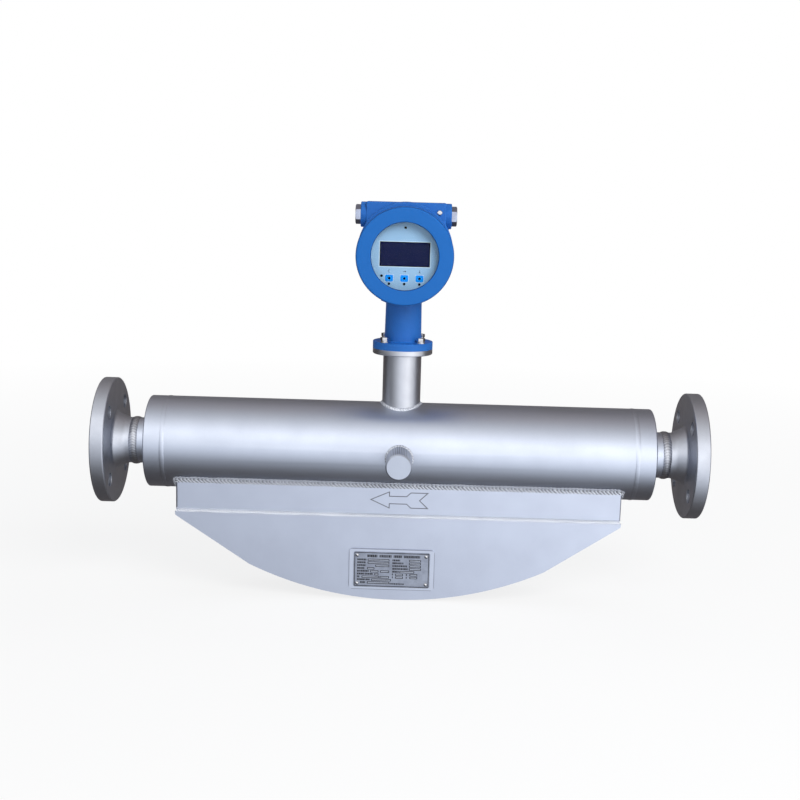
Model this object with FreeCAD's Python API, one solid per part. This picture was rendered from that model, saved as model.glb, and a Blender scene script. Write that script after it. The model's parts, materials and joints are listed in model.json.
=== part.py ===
import FreeCAD, Part
import math
import os
from FreeCAD import Vector

# Coriolis mass flow meter for a DN 50 pipe, in millimetres.
# X runs along the pipe out of the inlet, the display faces -Y, and Z is up.
# Pieces are drawn about the middle of the meter. They are moved at the end so that
# the origin is the centre of the inlet's raised face. The flow runs towards -X.

# Pipe connections
NOZZLE_LENGTH = 17.0
PIPE_DIA = 60.3
PIPE_WALL = 3.9
FLANGE_DIA = 165.0
FLANGE_THICKNESS = 18.0
FLANGE_EDGE_CHAMFER = 1.2
RAISED_FACE_DIA = 102.0
RAISED_FACE_HEIGHT = 2.0
HUB_DIA = 75.0
HUB_TAPER_LENGTH = 17.0
HUB_LAND_LENGTH = 7.0
HUB_ROOT_RADIUS = 5.0
BOLT_CIRCLE_DIA = 125.0
BOLT_HOLE_DIA = 18.0
BOLT_HOLE_COUNT = 4
PIPE_WELD_ROOT = 4.0
PIPE_WELD_CROWN_WIDTH = 11.0
PIPE_WELD_CROWN_HEIGHT = 1.7

# Round housing
HOUSING_LENGTH = 660.0
HOUSING_DIA = 120.6
HOUSING_WALL = 4.0
END_CAP_DEPTH = 22.0
END_PLATE_THICKNESS = 8.0
END_CAP_EDGE_RADIUS = 2.0
SEAM_WIDTH = 5.0
SEAM_HEIGHT = 0.25
NOZZLE_WELD_LEG = 6.0

# Flow splitters
SPLITTER_WALL = 10.3
SPLITTER_DEPTH = 26.0
SPLITTER_CONE_LENGTH = 8.0
SPLITTER_CONE_MARGIN = 3.5
TUBE_SOCKET_DEPTH = 8.0

# Measuring tubes
TUBE_DIA = 25.4
TUBE_WALL = 1.65
TUBE_SPACING = 34.0
TUBE_RIM_GAP = 5.8
TUBE_SHOULDER_SETBACK = 24.0
TUBE_CROWN_X = 95.0
TUBE_SHOULDER_RADIUS = 55.0
TUBE_CROWN_RADIUS = 180.0

# Brace plates across the tubes
BRACE_THICKNESS = 3.0
BRACE_SIDE_MARGIN = 2.3
BRACE_END_MARGIN = 3.3
BRACE_CORNER_RADIUS = 6.0
BRACE_DISTANCES = (45.0, 75.0)

# Coils, magnets and their brackets
COIL_DIA = 20.0
COIL_LENGTH = 13.0
COIL_BORE_DIA = 11.0
COIL_CHEEK_STEP = 1.0
COIL_CHEEK_THICKNESS = 1.5
COIL_CLEARANCE = 2.3
MAGNET_GAP = 1.5
MAGNET_HEAD_DIA = 14.0
MAGNET_HEAD_THICKNESS = 2.0
MAGNET_DEPTH_IN_COIL = 7.0
BRACKET_THICKNESS = 3.0
BRACKET_WIDTH = 18.0
BRACKET_TOP_MARGIN = 12.0

# Temperature sensor and wiring loom
THERMO_LENGTH = 18.0
THERMO_WIDTH = 6.0
THERMO_HEIGHT = 4.0
THERMO_DISTANCE = 120.0
LOOM_DIA = 4.0
LOOM_SHIFT_Y = -9.5
LOOM_KNEE_X = 58.0
LOOM_KNEE_Z = -85.0
LOOM_JOIN_Z = -45.0

# Casing under the housing: skirt, fin plates and rim
SKIRT_INSET = 40.0
SKIRT_WIDTH = 86.0
SKIRT_WALL = 2.5
SKIRT_DROP = 27.7
SKIRT_CORNER_RADIUS = 3.0
SLOT_END_MARGIN = 26.0
SLOT_SIDE_MARGIN = 0.5
SKIRT_WELD_ON_TUBE = 5.5
SKIRT_WELD_HEIGHT = 2.2
SKIRT_WELD_ON_END = 4.0
FIN_PLATE_THICKNESS = 4.0
FIN_OVERHANG = 0.2
FIN_LAP = 4.5
FIN_KINK_X = 193.0
FIN_KINK_DROP = 63.7
FIN_DEPTH = 107.0
FIN_CORNER_RADIUS = 4.0
RIM_THICKNESS = 4.0
FIN_WELD_LEG = 4.0

# Flow arrow, as an engraved outline on the skirt's front
ARROW_X = 1.5
ARROW_RISE = 27.0
ARROW_LENGTH = 74.0
ARROW_HEAD_LENGTH = 24.0
ARROW_HEAD_HALF_HEIGHT = 10.8
ARROW_SHAFT_HALF_HEIGHT = 5.0
ARROW_TAIL_LENGTH = 22.0
ARROW_TAIL_FLARE = 5.5
ARROW_TAIL_HALF_HEIGHT = 10.2
ARROW_NOTCH_DEPTH = 10.8
ARROW_LINE_WIDTH = 1.1
ARROW_LINE_DEPTH = 0.6

# Purge port in front of the housing
PORT_DIA = 33.5
PORT_LENGTH = 46.7
PORT_Z = -3.0
PORT_CHAMFER = 1.6
PORT_SPIGOT_DIA = 16.0
PORT_BORE_DIA = 10.0
PORT_END_THICKNESS = 12.0
ROUND_WELD_WIDTH = 2.0
ROUND_WELD_HEIGHT = 1.5

# Nameplate and its pad
PLATE_X = -6.2
PLATE_RISE = 41.6
PAD_WIDTH = 112.0
PAD_HEIGHT = 55.0
PAD_THICKNESS = 2.0
PAD_CORNER_RADIUS = 5.5
PLATE_SIDE_MARGIN = 6.0
PLATE_TOP_MARGIN = 3.5
PLATE_THICKNESS = 0.8
PLATE_CORNER_RADIUS = 3.0
RIVET_INSET = 5.0
RIVET_SHANK_DIA = 3.0
RIVET_HEAD_DIA = 5.0
RIVET_HEAD_HEIGHT = 1.5
RIVET_GRIP_IN_FIN = 1.5

# Neck between housing and head
NECK_DIA = 50.0
NECK_WALL = 3.0
NECK_LENGTH = 66.0
NECK_FLANGE_THICKNESS = 7.0
NECK_FLANGE_DIA = 78.0
NECK_FLANGE_CHAMFER = 0.8
NECK_WELD_WIDTH = 4.0
NECK_WELD_HEIGHT = 3.0
NECK_BOLT_INSET = 6.25
NECK_BOLT_COUNT = 4
NECK_BOLT_DIA = 6.0
NECK_BOLT_HOLE_DIA = 6.6
NECK_BOLT_FLATS = 10.0
NECK_BOLT_HEAD_HEIGHT = 4.0
WASHER_DIA = 12.0
WASHER_THICKNESS = 1.2
SPRING_WASHER_DIA = 10.0
SPRING_WASHER_THICKNESS = 1.6
SPRING_WASHER_SPLIT = 1.0
SEAL_MARGIN = 8.6
SEAL_SECTION_DIA = 2.4
SEAL_GROOVE_WIDTH = 3.2
FEEDTHROUGH_DIA = 32.0
FEEDTHROUGH_THICKNESS = 5.0
PIN_COUNT = 8
PIN_CIRCLE_DIA = 20.0
PIN_DIA = 1.5
PIN_LENGTH = 6.0

# Head casting
HEAD_FLANGE_THICKNESS = 9.3
HEAD_NECK_BASE_DIA = 48.0
HEAD_NECK_TOP_DIA = 46.0
HEAD_NECK_ROOT_RADIUS = 2.5
HEAD_NECK_BORE_DIA = 37.0
HEAD_PASSAGE_DIA = 25.0
HEAD_NECK_BORE_CEILING = 12.0
HEAD_SPLIT_DROP = 1.0
HEAD_RISE = 113.4
DRUM_OFFSET = 5.2
DRUM_STEP = 0.6
DRUM_DEPTH = 60.0
DRUM_EDGE_RADIUS = 1.5
COLLAR_WALL = 5.95
COLLAR_END_GAP = 0.7
PARTITION_REAR_Y = -13.0
PARTITION_THICKNESS = 5.0
CONDUIT_SIDE_STEP = 9.6
CONDUIT_DEPTH = 34.0
CONDUIT_TOP_STEP = 0.3
CONDUIT_HEIGHT = 45.0
CONDUIT_EDGE_RADIUS = 1.5
ENTRY_DEPTH = 16.7
BOSS_DIA = 32.4
BOSS_PROUD = 7.2
BOSS_EDGE_RADIUS = 1.2
ENTRY_BORE_DIA = 20.0
ENTRY_BORE_DEPTH = 22.0
ENTRY_PASSAGE_DIA = 14.0
LOCK_LUG_ANGLE = 247.6
LOCK_LUG_WIDTH = 9.0
LOCK_LUG_PROUD = 4.2
LOCK_LUG_DEPTH = 10.0

# Covers of the head
COVER_DIA = 122.4
COVER_WALL = 5.2
COVER_REACH = 69.0
COVER_FACE_THICKNESS = 5.0
COVER_EDGE_RADIUS = 2.6
WINDOW_LAND = 8.0
WINDOW_CHAMFER = 1.0
GLASS_THICKNESS = 6.0
GLASS_GASKET_THICKNESS = 0.8
GLASS_GASKET_WIDTH = 5.0
RETAINER_THICKNESS = 4.0
RETAINER_STEP = 1.5
RETAINER_SLOT_WIDTH = 4.0
COVER_SEAL_WIDTH = 3.0
COVER_SEAL_HEIGHT = 2.3

# Display and electronics
PANEL_GAP = 0.5
PANEL_THICKNESS = 1.5
PANEL_DEPTH_IN_RETAINER = 1.3
LCD_WIDTH = 63.0
LCD_HEIGHT = 30.8
LCD_RISE = 2.1
LCD_RECESS = 0.3
LCD_FRAME_MARGIN = 3.5
LCD_FRAME_DEPTH = 6.0
KEY_SPACING = 19.0
KEY_COUNT = 3
KEY_WIDTH = 10.0
KEY_HEIGHT = 8.6
KEY_INSET = 15.0
KEY_PROUD = 0.3
KEY_CORNER_RADIUS = 2.0
SENSOR_DIA = 3.2
LOWER_SENSOR_DROP = 7.0
TOP_SENSOR_INSET = 8.0
SIDE_SENSOR_SPACING = 9.6
SIDE_SENSOR_RISE = 2.8
SENSOR_PROUD = 0.2
BOARD_THICKNESS = 1.6
DISPLAY_BOARD_GAP = 6.0
MAIN_BOARD_EDGE_GAP = 3.0
MAIN_BOARD_GAP = 8.0
SPACER_FLATS = 5.5
SPACER_COUNT = 3
SPACER_INSET = 6.0
TRANSFORMER_SIZE = 15.0
TRANSFORMER_HEIGHT = 11.0
CAPACITOR_DIA = 8.0
CAPACITOR_HEIGHT = 12.0
CONNECTOR_LENGTH = 26.0
CONNECTOR_WIDTH = 6.0
CONNECTOR_HEIGHT = 8.0
TERMINAL_COUNT = 8
TERMINAL_PITCH = 8.0
TERMINAL_HEIGHT = 22.0
TERMINAL_DEPTH = 16.0
TERMINAL_MARGIN = 4.0
TERMINAL_WIRE_HOLE_DIA = 4.5
TERMINAL_SCREW_DIA = 5.0
TERMINAL_SCREW_HEIGHT = 4.0
TERMINAL_SCREW_SINK = 1.5

# Glands and small screws
GLAND_FLATS = 22.0
GLAND_HEAD_LENGTH = 6.8
GLAND_EDGE_CHAMFER = 0.8
GLAND_BORE_DIA = 12.0
GLAND_WASHER_THICKNESS = 1.5
GLAND_WASHER_BORE_DIA = 10.0
GROMMET_LENGTH = 10.0
GROMMET_BORE_DIA = 7.0
EARTH_SCREW_ANGLE = 48.65
EARTH_SCREW_DRUM_GAP = 3.88
EARTH_SCREW_DIA = 4.0
EARTH_SCREW_LENGTH = 5.0
EARTH_SCREW_HEAD_DIA = 6.5
EARTH_SCREW_HEAD_HEIGHT = 2.6
SLOT_CUT_WIDTH = 1.0
SLOT_CUT_DEPTH = 0.9
SET_SCREW_DIA = 4.0
SET_SCREW_LENGTH = 8.0
SET_SCREW_SOCKET_DIA = 2.0
SET_SCREW_SOCKET_DEPTH = 2.0
SET_SCREW_PROUD = 2.2
LOCK_SCREW_INSET = 2.0

# Clearances, all radial or face to face
WELDED_FIT = 0.05
SCREW_FIT = 0.03
SEATED_FIT = 0.05
THREAD_FIT = 0.05
COVER_GAP = 0.3

# Places worked out from the sizes above
X = Vector(1, 0, 0)
Y = Vector(0, 1, 0)
Z = Vector(0, 0, 1)
MIDDLE = Vector(0, 0, 0)

HOUSING_END_X = HOUSING_LENGTH / 2
NOZZLE_END_X = HOUSING_END_X + NOZZLE_LENGTH
FLANGE_END_X = NOZZLE_END_X + PIPE_WELD_ROOT
HUB_END_X = FLANGE_END_X + HUB_LAND_LENGTH
FLANGE_BACK_X = HUB_END_X + HUB_TAPER_LENGTH
FLANGE_FRONT_X = FLANGE_BACK_X + FLANGE_THICKNESS
FACE_X = FLANGE_FRONT_X + RAISED_FACE_HEIGHT
CAP_INNER_X = HOUSING_END_X - END_PLATE_THICKNESS
CAP_MOUTH_X = HOUSING_END_X - END_CAP_DEPTH
HOUSING_TUBE_X = CAP_MOUTH_X - SEAM_WIDTH
SPLITTER_MOUTH_X = CAP_INNER_X - SPLITTER_DEPTH
TUBE_END_X = SPLITTER_MOUTH_X + TUBE_SOCKET_DEPTH
TUBE_SHOULDER_X = SPLITTER_MOUTH_X - TUBE_SHOULDER_SETBACK

BORE_R = PIPE_DIA / 2 - PIPE_WALL
PIPE_R = PIPE_DIA / 2
HOUSING_R = HOUSING_DIA / 2
HOUSING_INNER_R = HOUSING_R - HOUSING_WALL
TUBE_R = TUBE_DIA / 2
TUBE_BORE_R = TUBE_R - TUBE_WALL
TUBE_Y = TUBE_SPACING / 2
NECK_R = NECK_DIA / 2
NECK_INNER_R = NECK_R - NECK_WALL
SPLITTER_R = TUBE_Y + TUBE_R + SPLITTER_WALL
SPLITTER_CONE_R = TUBE_Y + TUBE_BORE_R + SPLITTER_CONE_MARGIN
COIL_CHEEK_R = COIL_DIA / 2 + COIL_CHEEK_STEP
COIL_HEIGHT = TUBE_R + COIL_CLEARANCE + COIL_CHEEK_R
MAGNET_R = COIL_BORE_DIA / 2 - MAGNET_GAP

PORT_END_Y = HOUSING_R + PORT_LENGTH
NECK_FLANGE_Z = HOUSING_R + NECK_LENGTH
SKIRT_LENGTH = HOUSING_LENGTH - 2 * SKIRT_INSET
SKIRT_FACE_Y = SKIRT_WIDTH / 2
SKIRT_BOTTOM_Z = -HOUSING_R - SKIRT_DROP
FIN_KINK_Z = SKIRT_BOTTOM_Z - FIN_KINK_DROP
FIN_BOTTOM_Z = SKIRT_BOTTOM_Z - FIN_DEPTH
TUBE_DROP = -FIN_BOTTOM_Z - RIM_THICKNESS - TUBE_RIM_GAP - TUBE_R
PLATE_Z = FIN_BOTTOM_Z + PLATE_RISE
FIN_FACE_Y = SKIRT_FACE_Y + FIN_PLATE_THICKNESS
PAD_FACE_Y = FIN_FACE_Y + PAD_THICKNESS
PLATE_FACE_Y = PAD_FACE_Y + PLATE_THICKNESS
FIN_TOP_Z = SKIRT_BOTTOM_Z + FIN_LAP
FIN_END_X = SKIRT_LENGTH / 2 + FIN_OVERHANG
ARROW_Z = SKIRT_BOTTOM_Z + ARROW_RISE
PLATE_WIDTH = PAD_WIDTH - 2 * PLATE_SIDE_MARGIN
PLATE_HEIGHT = PAD_HEIGHT - 2 * PLATE_TOP_MARGIN

HEAD_SEAT_Z = NECK_FLANGE_Z + NECK_FLANGE_THICKNESS
HEAD_FLANGE_TOP_Z = HEAD_SEAT_Z + HEAD_FLANGE_THICKNESS
NECK_BOLT_CIRCLE_DIA = NECK_FLANGE_DIA - 2 * NECK_BOLT_INSET
SEAL_R = FEEDTHROUGH_DIA / 2 + SEAL_MARGIN
COVER_Z = HEAD_FLANGE_TOP_Z + HEAD_RISE
DRUM_Z = COVER_Z + DRUM_OFFSET
DRUM_R = COVER_DIA / 2 - DRUM_STEP
COVER_THREAD_R = COVER_DIA / 2 - COVER_WALL
COLLAR_R = COVER_THREAD_R - THREAD_FIT
CAVITY_R = COLLAR_R - COLLAR_WALL
CAVITY_BOTTOM_Z = COVER_Z - CAVITY_R
HEAD_NECK_BORE_TOP_Z = CAVITY_BOTTOM_Z - HEAD_NECK_BORE_CEILING
HEAD_SPLIT_Z = DRUM_Z - DRUM_R - HEAD_SPLIT_DROP
CONDUIT_HALF_WIDTH = DRUM_R - CONDUIT_SIDE_STEP
CONDUIT_TOP_Z = DRUM_Z + DRUM_R - CONDUIT_TOP_STEP
ENTRY_Z = CONDUIT_TOP_Z - ENTRY_DEPTH
DRUM_FACE_Y = DRUM_DEPTH / 2
COVER_MOUTH_Y = DRUM_FACE_Y + COVER_GAP
COVER_INNER_Y = COVER_REACH - COVER_FACE_THICKNESS
GLASS_FRONT_Y = COVER_INNER_Y - GLASS_GASKET_THICKNESS
GLASS_BACK_Y = GLASS_FRONT_Y - GLASS_THICKNESS
RETAINER_BACK_Y = GLASS_BACK_Y - RETAINER_THICKNESS
COLLAR_END_Y = RETAINER_BACK_Y - COLLAR_END_GAP
PANEL_FRONT_Y = RETAINER_BACK_Y + PANEL_DEPTH_IN_RETAINER
PANEL_BACK_Y = PANEL_FRONT_Y - PANEL_THICKNESS
DISPLAY_BOARD_FRONT_Y = PANEL_BACK_Y - LCD_FRAME_DEPTH
DISPLAY_BOARD_BACK_Y = DISPLAY_BOARD_FRONT_Y - BOARD_THICKNESS
PARTITION_FRONT_Y = PARTITION_REAR_Y - PARTITION_THICKNESS
MAIN_BOARD_BACK_Y = -PARTITION_FRONT_Y + MAIN_BOARD_GAP
MAIN_BOARD_FRONT_Y = MAIN_BOARD_BACK_Y + BOARD_THICKNESS
GLASS_R = CAVITY_R - SEATED_FIT
WINDOW_R = CAVITY_R - WINDOW_LAND
RETAINER_BORE_R = WINDOW_R + RETAINER_STEP
PANEL_R = RETAINER_BORE_R - PANEL_GAP
DISPLAY_BOARD_R = CAVITY_R - DISPLAY_BOARD_GAP
MAIN_BOARD_R = CAVITY_R - MAIN_BOARD_EDGE_GAP
SPACER_CIRCLE_DIA = 2 * (DISPLAY_BOARD_R - SPACER_INSET)
LCD_Z = COVER_Z + LCD_RISE
KEY_Z = COVER_Z - PANEL_R + KEY_INSET
HEAD_AXIS = Vector(0, 0, COVER_Z)
BOSS_REACH = CONDUIT_HALF_WIDTH + BOSS_PROUD
ENTRY_SHOULDER_X = BOSS_REACH - ENTRY_BORE_DEPTH
GROMMET_END_X = ENTRY_SHOULDER_X + GROMMET_LENGTH
GLAND_WASHER_END_X = GROMMET_END_X + GLAND_WASHER_THICKNESS


def rod(radius, start, end):
    """Solid cylinder from one point to another."""
    way = end - start
    return Part.makeCylinder(radius, way.Length, start, way)


def pipe(outer_radius, inner_radius, start, end):
    """Hollow cylinder from one point to another."""
    return rod(outer_radius, start, end).cut(rod(inner_radius, start, end))


def block(x_range, y_range, z_range):
    """Box between three pairs of limits."""
    low = Vector(x_range[0], y_range[0], z_range[0])
    high = Vector(x_range[1], y_range[1], z_range[1])
    size = high - low
    return Part.makeBox(size.x, size.y, size.z, low)


def corner_edges(points, rounds, closed):
    """Straight edges through the points, with an arc at each corner that has a radius."""
    count = len(points)
    entries = []
    exits = []
    arcs = []
    for i, corner in enumerate(points):
        radius = rounds.get(i, 0)
        inner = closed or 0 < i < count - 1
        if radius == 0 or not inner:
            entries.append(corner)
            exits.append(corner)
            arcs.append(None)
            continue
        back = (points[i - 1] - corner).normalize()
        ahead = (points[(i + 1) % count] - corner).normalize()
        half = back.getAngle(ahead) / 2
        reach = radius / math.tan(half)
        middle = (back + ahead).normalize()
        nearest = corner + middle * (radius / math.sin(half) - radius)
        entries.append(corner + back * reach)
        exits.append(corner + ahead * reach)
        arcs.append(nearest)
    edges = []
    for i in range(count):
        if arcs[i] is not None:
            edges.append(Part.Arc(entries[i], arcs[i], exits[i]).toShape())
        if i == count - 1 and not closed:
            break
        following = entries[(i + 1) % count]
        if (following - exits[i]).Length > 1e-6:
            edges.append(Part.LineSegment(exits[i], following).toShape())
    return edges


def closed_wire(points, rounds=None):
    """Closed outline through the points, with rounded corners where asked."""
    return Part.Wire(corner_edges(points, rounds or {}, True))


def turned(profile, origin, axis, radial, rounds=None):
    """Solid of revolution from a profile of (along, radius) pairs."""
    points = [origin + axis * along + radial * out for along, out in profile]
    return Part.Face(closed_wire(points, rounds)).revolve(origin, axis, 360)


def front_prism(wire, y_start, y_end):
    """Solid drawn in the XZ plane at y_start and pushed along Y."""
    face = Part.Face(wire)
    face.translate(Y * y_start)
    return face.extrude(Y * (y_end - y_start))


def rounded_rectangle(width, height, radius, centre_x, centre_z):
    """Rectangle in the XZ plane with four equal corners."""
    w, h = width / 2, height / 2
    corners = [Vector(centre_x - w, 0, centre_z - h), Vector(centre_x + w, 0, centre_z - h),
               Vector(centre_x + w, 0, centre_z + h), Vector(centre_x - w, 0, centre_z + h)]
    return closed_wire(corners, {i: radius for i in range(4)})


def hexagon_prism(flats, start, end, corner_direction):
    """Hexagonal bar between two points, with a corner in the given direction."""
    axis = (end - start).normalize()
    side = axis.cross(corner_direction)
    radius = flats / math.sqrt(3)
    corners = []
    for i in range(6):
        turn = math.radians(60 * i)
        offset = corner_direction * (radius * math.cos(turn)) + side * (radius * math.sin(turn))
        corners.append(start + offset)
    return Part.Face(closed_wire(corners)).extrude(end - start)


def other_end(shape):
    """Copy of a piece turned half round about Z, for the outlet side."""
    copy = shape.copy()
    copy.rotate(MIDDLE, Z, 180)
    return copy


def circle_points(diameter, count, start_angle):
    """Cosine and sine offsets of points spaced evenly on a circle."""
    points = []
    for i in range(count):
        turn = math.radians(start_angle + 360 * i / count)
        points.append((diameter / 2 * math.cos(turn), diameter / 2 * math.sin(turn)))
    return points


def housing_solid(extra=0.0):
    """Round bar with the outside of the housing, or larger."""
    return rod(HOUSING_R + extra, X * -HOUSING_END_X, X * HOUSING_END_X)


def save(name, shape):
    """Move a piece to the inlet frame and write it."""
    placed = shape.copy()
    placed.translate(X * -FACE_X)
    placed.exportStep("parts/" + name + ".step")


def inlet_flange():
    """Weld-neck flange with raised face and bolt holes."""
    chamfer = FLANGE_EDGE_CHAMFER
    outer = FLANGE_DIA / 2
    profile = [(FLANGE_END_X, BORE_R), (FACE_X, BORE_R), (FACE_X, RAISED_FACE_DIA / 2),
               (FLANGE_FRONT_X, RAISED_FACE_DIA / 2), (FLANGE_FRONT_X, outer - chamfer),
               (FLANGE_FRONT_X - chamfer, outer), (FLANGE_BACK_X + chamfer, outer),
               (FLANGE_BACK_X, outer - chamfer), (FLANGE_BACK_X, HUB_DIA / 2),
               (HUB_END_X, PIPE_R), (FLANGE_END_X, PIPE_R)]
    flange = turned(profile, MIDDLE, X, Z, {8: HUB_ROOT_RADIUS})
    first = 180 / BOLT_HOLE_COUNT
    for y, z in circle_points(BOLT_CIRCLE_DIA, BOLT_HOLE_COUNT, first):
        hole = rod(BOLT_HOLE_DIA / 2, Vector(FLANGE_BACK_X, y, z), Vector(FLANGE_FRONT_X, y, z))
        flange = flange.cut(hole)
    return flange


def pipe_weld():
    """Butt weld between flange and splitter, with a rounded crown outside."""
    centre = (FLANGE_END_X + NOZZLE_END_X) / 2
    crown = PIPE_WELD_CROWN_WIDTH / 2
    top = PIPE_R + PIPE_WELD_CROWN_HEIGHT
    flat = PIPE_WELD_CROWN_WIDTH / 4
    profile = [(NOZZLE_END_X, BORE_R), (FLANGE_END_X, BORE_R), (FLANGE_END_X, PIPE_R),
               (centre + crown, PIPE_R), (centre + flat, top), (centre - flat, top),
               (centre - crown, PIPE_R), (NOZZLE_END_X, PIPE_R)]
    round_over = PIPE_WELD_CROWN_HEIGHT
    return turned(profile, MIDDLE, X, Z, {4: round_over, 5: round_over})


def inlet_splitter():
    """Nozzle and flow divider, one casting with two tube sockets."""
    body = rod(PIPE_R, X * NOZZLE_END_X, X * CAP_INNER_X)
    body = body.fuse(rod(SPLITTER_R, X * CAP_INNER_X, X * SPLITTER_MOUTH_X))
    cone_end = CAP_INNER_X - SPLITTER_CONE_LENGTH
    body = body.cut(rod(BORE_R, X * NOZZLE_END_X, X * CAP_INNER_X))
    body = body.cut(Part.makeCone(BORE_R, SPLITTER_CONE_R, SPLITTER_CONE_LENGTH,
                                  X * CAP_INNER_X, X * -1))
    for side in (-1, 1):
        line = Y * (side * TUBE_Y)
        body = body.cut(rod(TUBE_BORE_R, X * cone_end + line, X * SPLITTER_MOUTH_X + line))
        body = body.cut(rod(TUBE_R + WELDED_FIT, X * TUBE_END_X + line, X * SPLITTER_MOUTH_X + line))
    return body.removeSplitter()


def inlet_end_cap():
    """Cup that closes one end of the housing round the nozzle."""
    hole = PIPE_R + WELDED_FIT
    profile = [(CAP_MOUTH_X, HOUSING_INNER_R), (CAP_MOUTH_X, HOUSING_R), (HOUSING_END_X, HOUSING_R),
               (HOUSING_END_X, hole), (CAP_INNER_X, hole), (CAP_INNER_X, HOUSING_INNER_R)]
    return turned(profile, MIDDLE, X, Z, {2: END_CAP_EDGE_RADIUS})


def seam_weld():
    """Ground weld band between end cap and housing tube."""
    return pipe(HOUSING_R + SEAM_HEIGHT, HOUSING_INNER_R, X * HOUSING_TUBE_X, X * CAP_MOUTH_X)


def nozzle_weld():
    """Fillet weld between the end cap and the nozzle."""
    profile = [(HOUSING_END_X, PIPE_R), (HOUSING_END_X + NOZZLE_WELD_LEG, PIPE_R),
               (HOUSING_END_X, PIPE_R + NOZZLE_WELD_LEG)]
    return turned(profile, MIDDLE, X, Z)


def end_cap_welds():
    """The two seam welds and the two nozzle welds."""
    inlet = [seam_weld(), nozzle_weld()]
    return Part.makeCompound(inlet + [other_end(weld) for weld in inlet])


def housing_tube():
    """Main tube with the casing slot, the neck hole and the port hole."""
    tube = pipe(HOUSING_R, HOUSING_INNER_R, X * -HOUSING_TUBE_X, X * HOUSING_TUBE_X)
    slot_x = SKIRT_LENGTH / 2 - SLOT_END_MARGIN
    slot_y = SKIRT_FACE_Y - SKIRT_WALL - SLOT_SIDE_MARGIN
    slot = block((-slot_x, slot_x), (-slot_y, slot_y), (-HOUSING_R, 0))
    neck_hole = rod(NECK_INNER_R, MIDDLE, Z * HOUSING_R)
    port = Z * PORT_Z
    port_hole = rod(PORT_SPIGOT_DIA / 2 + WELDED_FIT, port, port - Y * HOUSING_R)
    return tube.cut(slot).cut(neck_hole).cut(port_hole)


def purge_port():
    """Closed stub on the front of the housing, with a spigot through the wall."""
    base = Z * PORT_Z
    end = base - Y * PORT_END_Y
    neck = base - Y * (PORT_END_Y - PORT_CHAMFER)
    radius = PORT_DIA / 2
    stub = rod(radius, base, neck).fuse(
        Part.makeCone(radius, radius - PORT_CHAMFER, PORT_CHAMFER, neck, Y * -1))
    stub = stub.cut(housing_solid())
    root_y = math.sqrt(HOUSING_INNER_R ** 2 - (PORT_SPIGOT_DIA / 2 + abs(PORT_Z)) ** 2)
    overlap_y = HOUSING_R + PORT_SPIGOT_DIA / 4
    stub = stub.fuse(rod(PORT_SPIGOT_DIA / 2, base - Y * root_y, base - Y * overlap_y))
    bore_end = base - Y * (PORT_END_Y - PORT_END_THICKNESS)
    return stub.cut(rod(PORT_BORE_DIA / 2, base, bore_end)).removeSplitter()


def purge_port_weld():
    """Bead round the foot of the purge port."""
    base = Z * PORT_Z
    end = base - Y * PORT_END_Y
    radius = PORT_DIA / 2
    ring = pipe(radius + ROUND_WELD_WIDTH, radius, base, end)
    return ring.common(housing_solid(ROUND_WELD_HEIGHT)).cut(housing_solid())


def skirt_outline(grow=0.0):
    """Plan outline of the skirt's outside in the XY plane, or larger."""
    x = SKIRT_LENGTH / 2 + grow
    y = SKIRT_WIDTH / 2 + grow
    corners = [Vector(-x, -y, 0), Vector(x, -y, 0), Vector(x, y, 0), Vector(-x, y, 0)]
    radius = SKIRT_CORNER_RADIUS + grow
    return closed_wire(corners, {i: radius for i in range(4)})


def skirt_solid():
    """Solid bar with the skirt's outline, down to its lower edge."""
    return Part.Face(skirt_outline()).extrude(Z * SKIRT_BOTTOM_Z)


def arrow_points():
    """Corners of the flow arrow, from the tip and round to the tip."""
    tip = ARROW_X - ARROW_LENGTH / 2
    head = tip + ARROW_HEAD_LENGTH
    tail = ARROW_X + ARROW_LENGTH / 2
    flare = tail - ARROW_TAIL_LENGTH
    shaft_end = flare - ARROW_TAIL_FLARE
    upper = [(head, ARROW_HEAD_HALF_HEIGHT), (head, ARROW_SHAFT_HALF_HEIGHT),
             (shaft_end, ARROW_SHAFT_HALF_HEIGHT), (flare, ARROW_TAIL_HALF_HEIGHT),
             (tail, ARROW_TAIL_HALF_HEIGHT)]
    lower = [(x, -z) for x, z in reversed(upper)]
    notch = [(tail - ARROW_NOTCH_DEPTH, 0)]
    return [(tip, 0)] + upper + notch + lower


def arrow_groove():
    """Thin engraved line that follows the arrow's outline."""
    points = [Vector(x, 0, ARROW_Z + z) for x, z in arrow_points()]
    line = closed_wire(points)
    outside = line.makeOffset2D(ARROW_LINE_WIDTH / 2, 2)
    inside = line.makeOffset2D(-ARROW_LINE_WIDTH / 2, 2)
    front = -SKIRT_FACE_Y
    back = front + ARROW_LINE_DEPTH
    return front_prism(outside, front, back).cut(front_prism(inside, front, back))


def casing_skirt():
    """Folded box frame from the housing down to the fin, with the engraved arrow."""
    inside = block((-SKIRT_LENGTH / 2 + SKIRT_WALL, SKIRT_LENGTH / 2 - SKIRT_WALL),
                   (-SKIRT_FACE_Y + SKIRT_WALL, SKIRT_FACE_Y - SKIRT_WALL), (SKIRT_BOTTOM_Z, 0))
    frame = skirt_solid().cut(inside).cut(housing_solid())
    return frame.cut(arrow_groove())


def skirt_weld():
    """Weld bead all round between the skirt and the housing."""
    half_x = SKIRT_LENGTH / 2 + SKIRT_WELD_ON_END
    half_y = SKIRT_FACE_Y + SKIRT_WELD_ON_TUBE
    bar = block((-half_x, half_x), (-half_y, half_y), (SKIRT_BOTTOM_Z, 0))
    bead = bar.common(housing_solid(SKIRT_WELD_HEIGHT)).cut(housing_solid())
    return bead.cut(skirt_solid())


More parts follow.
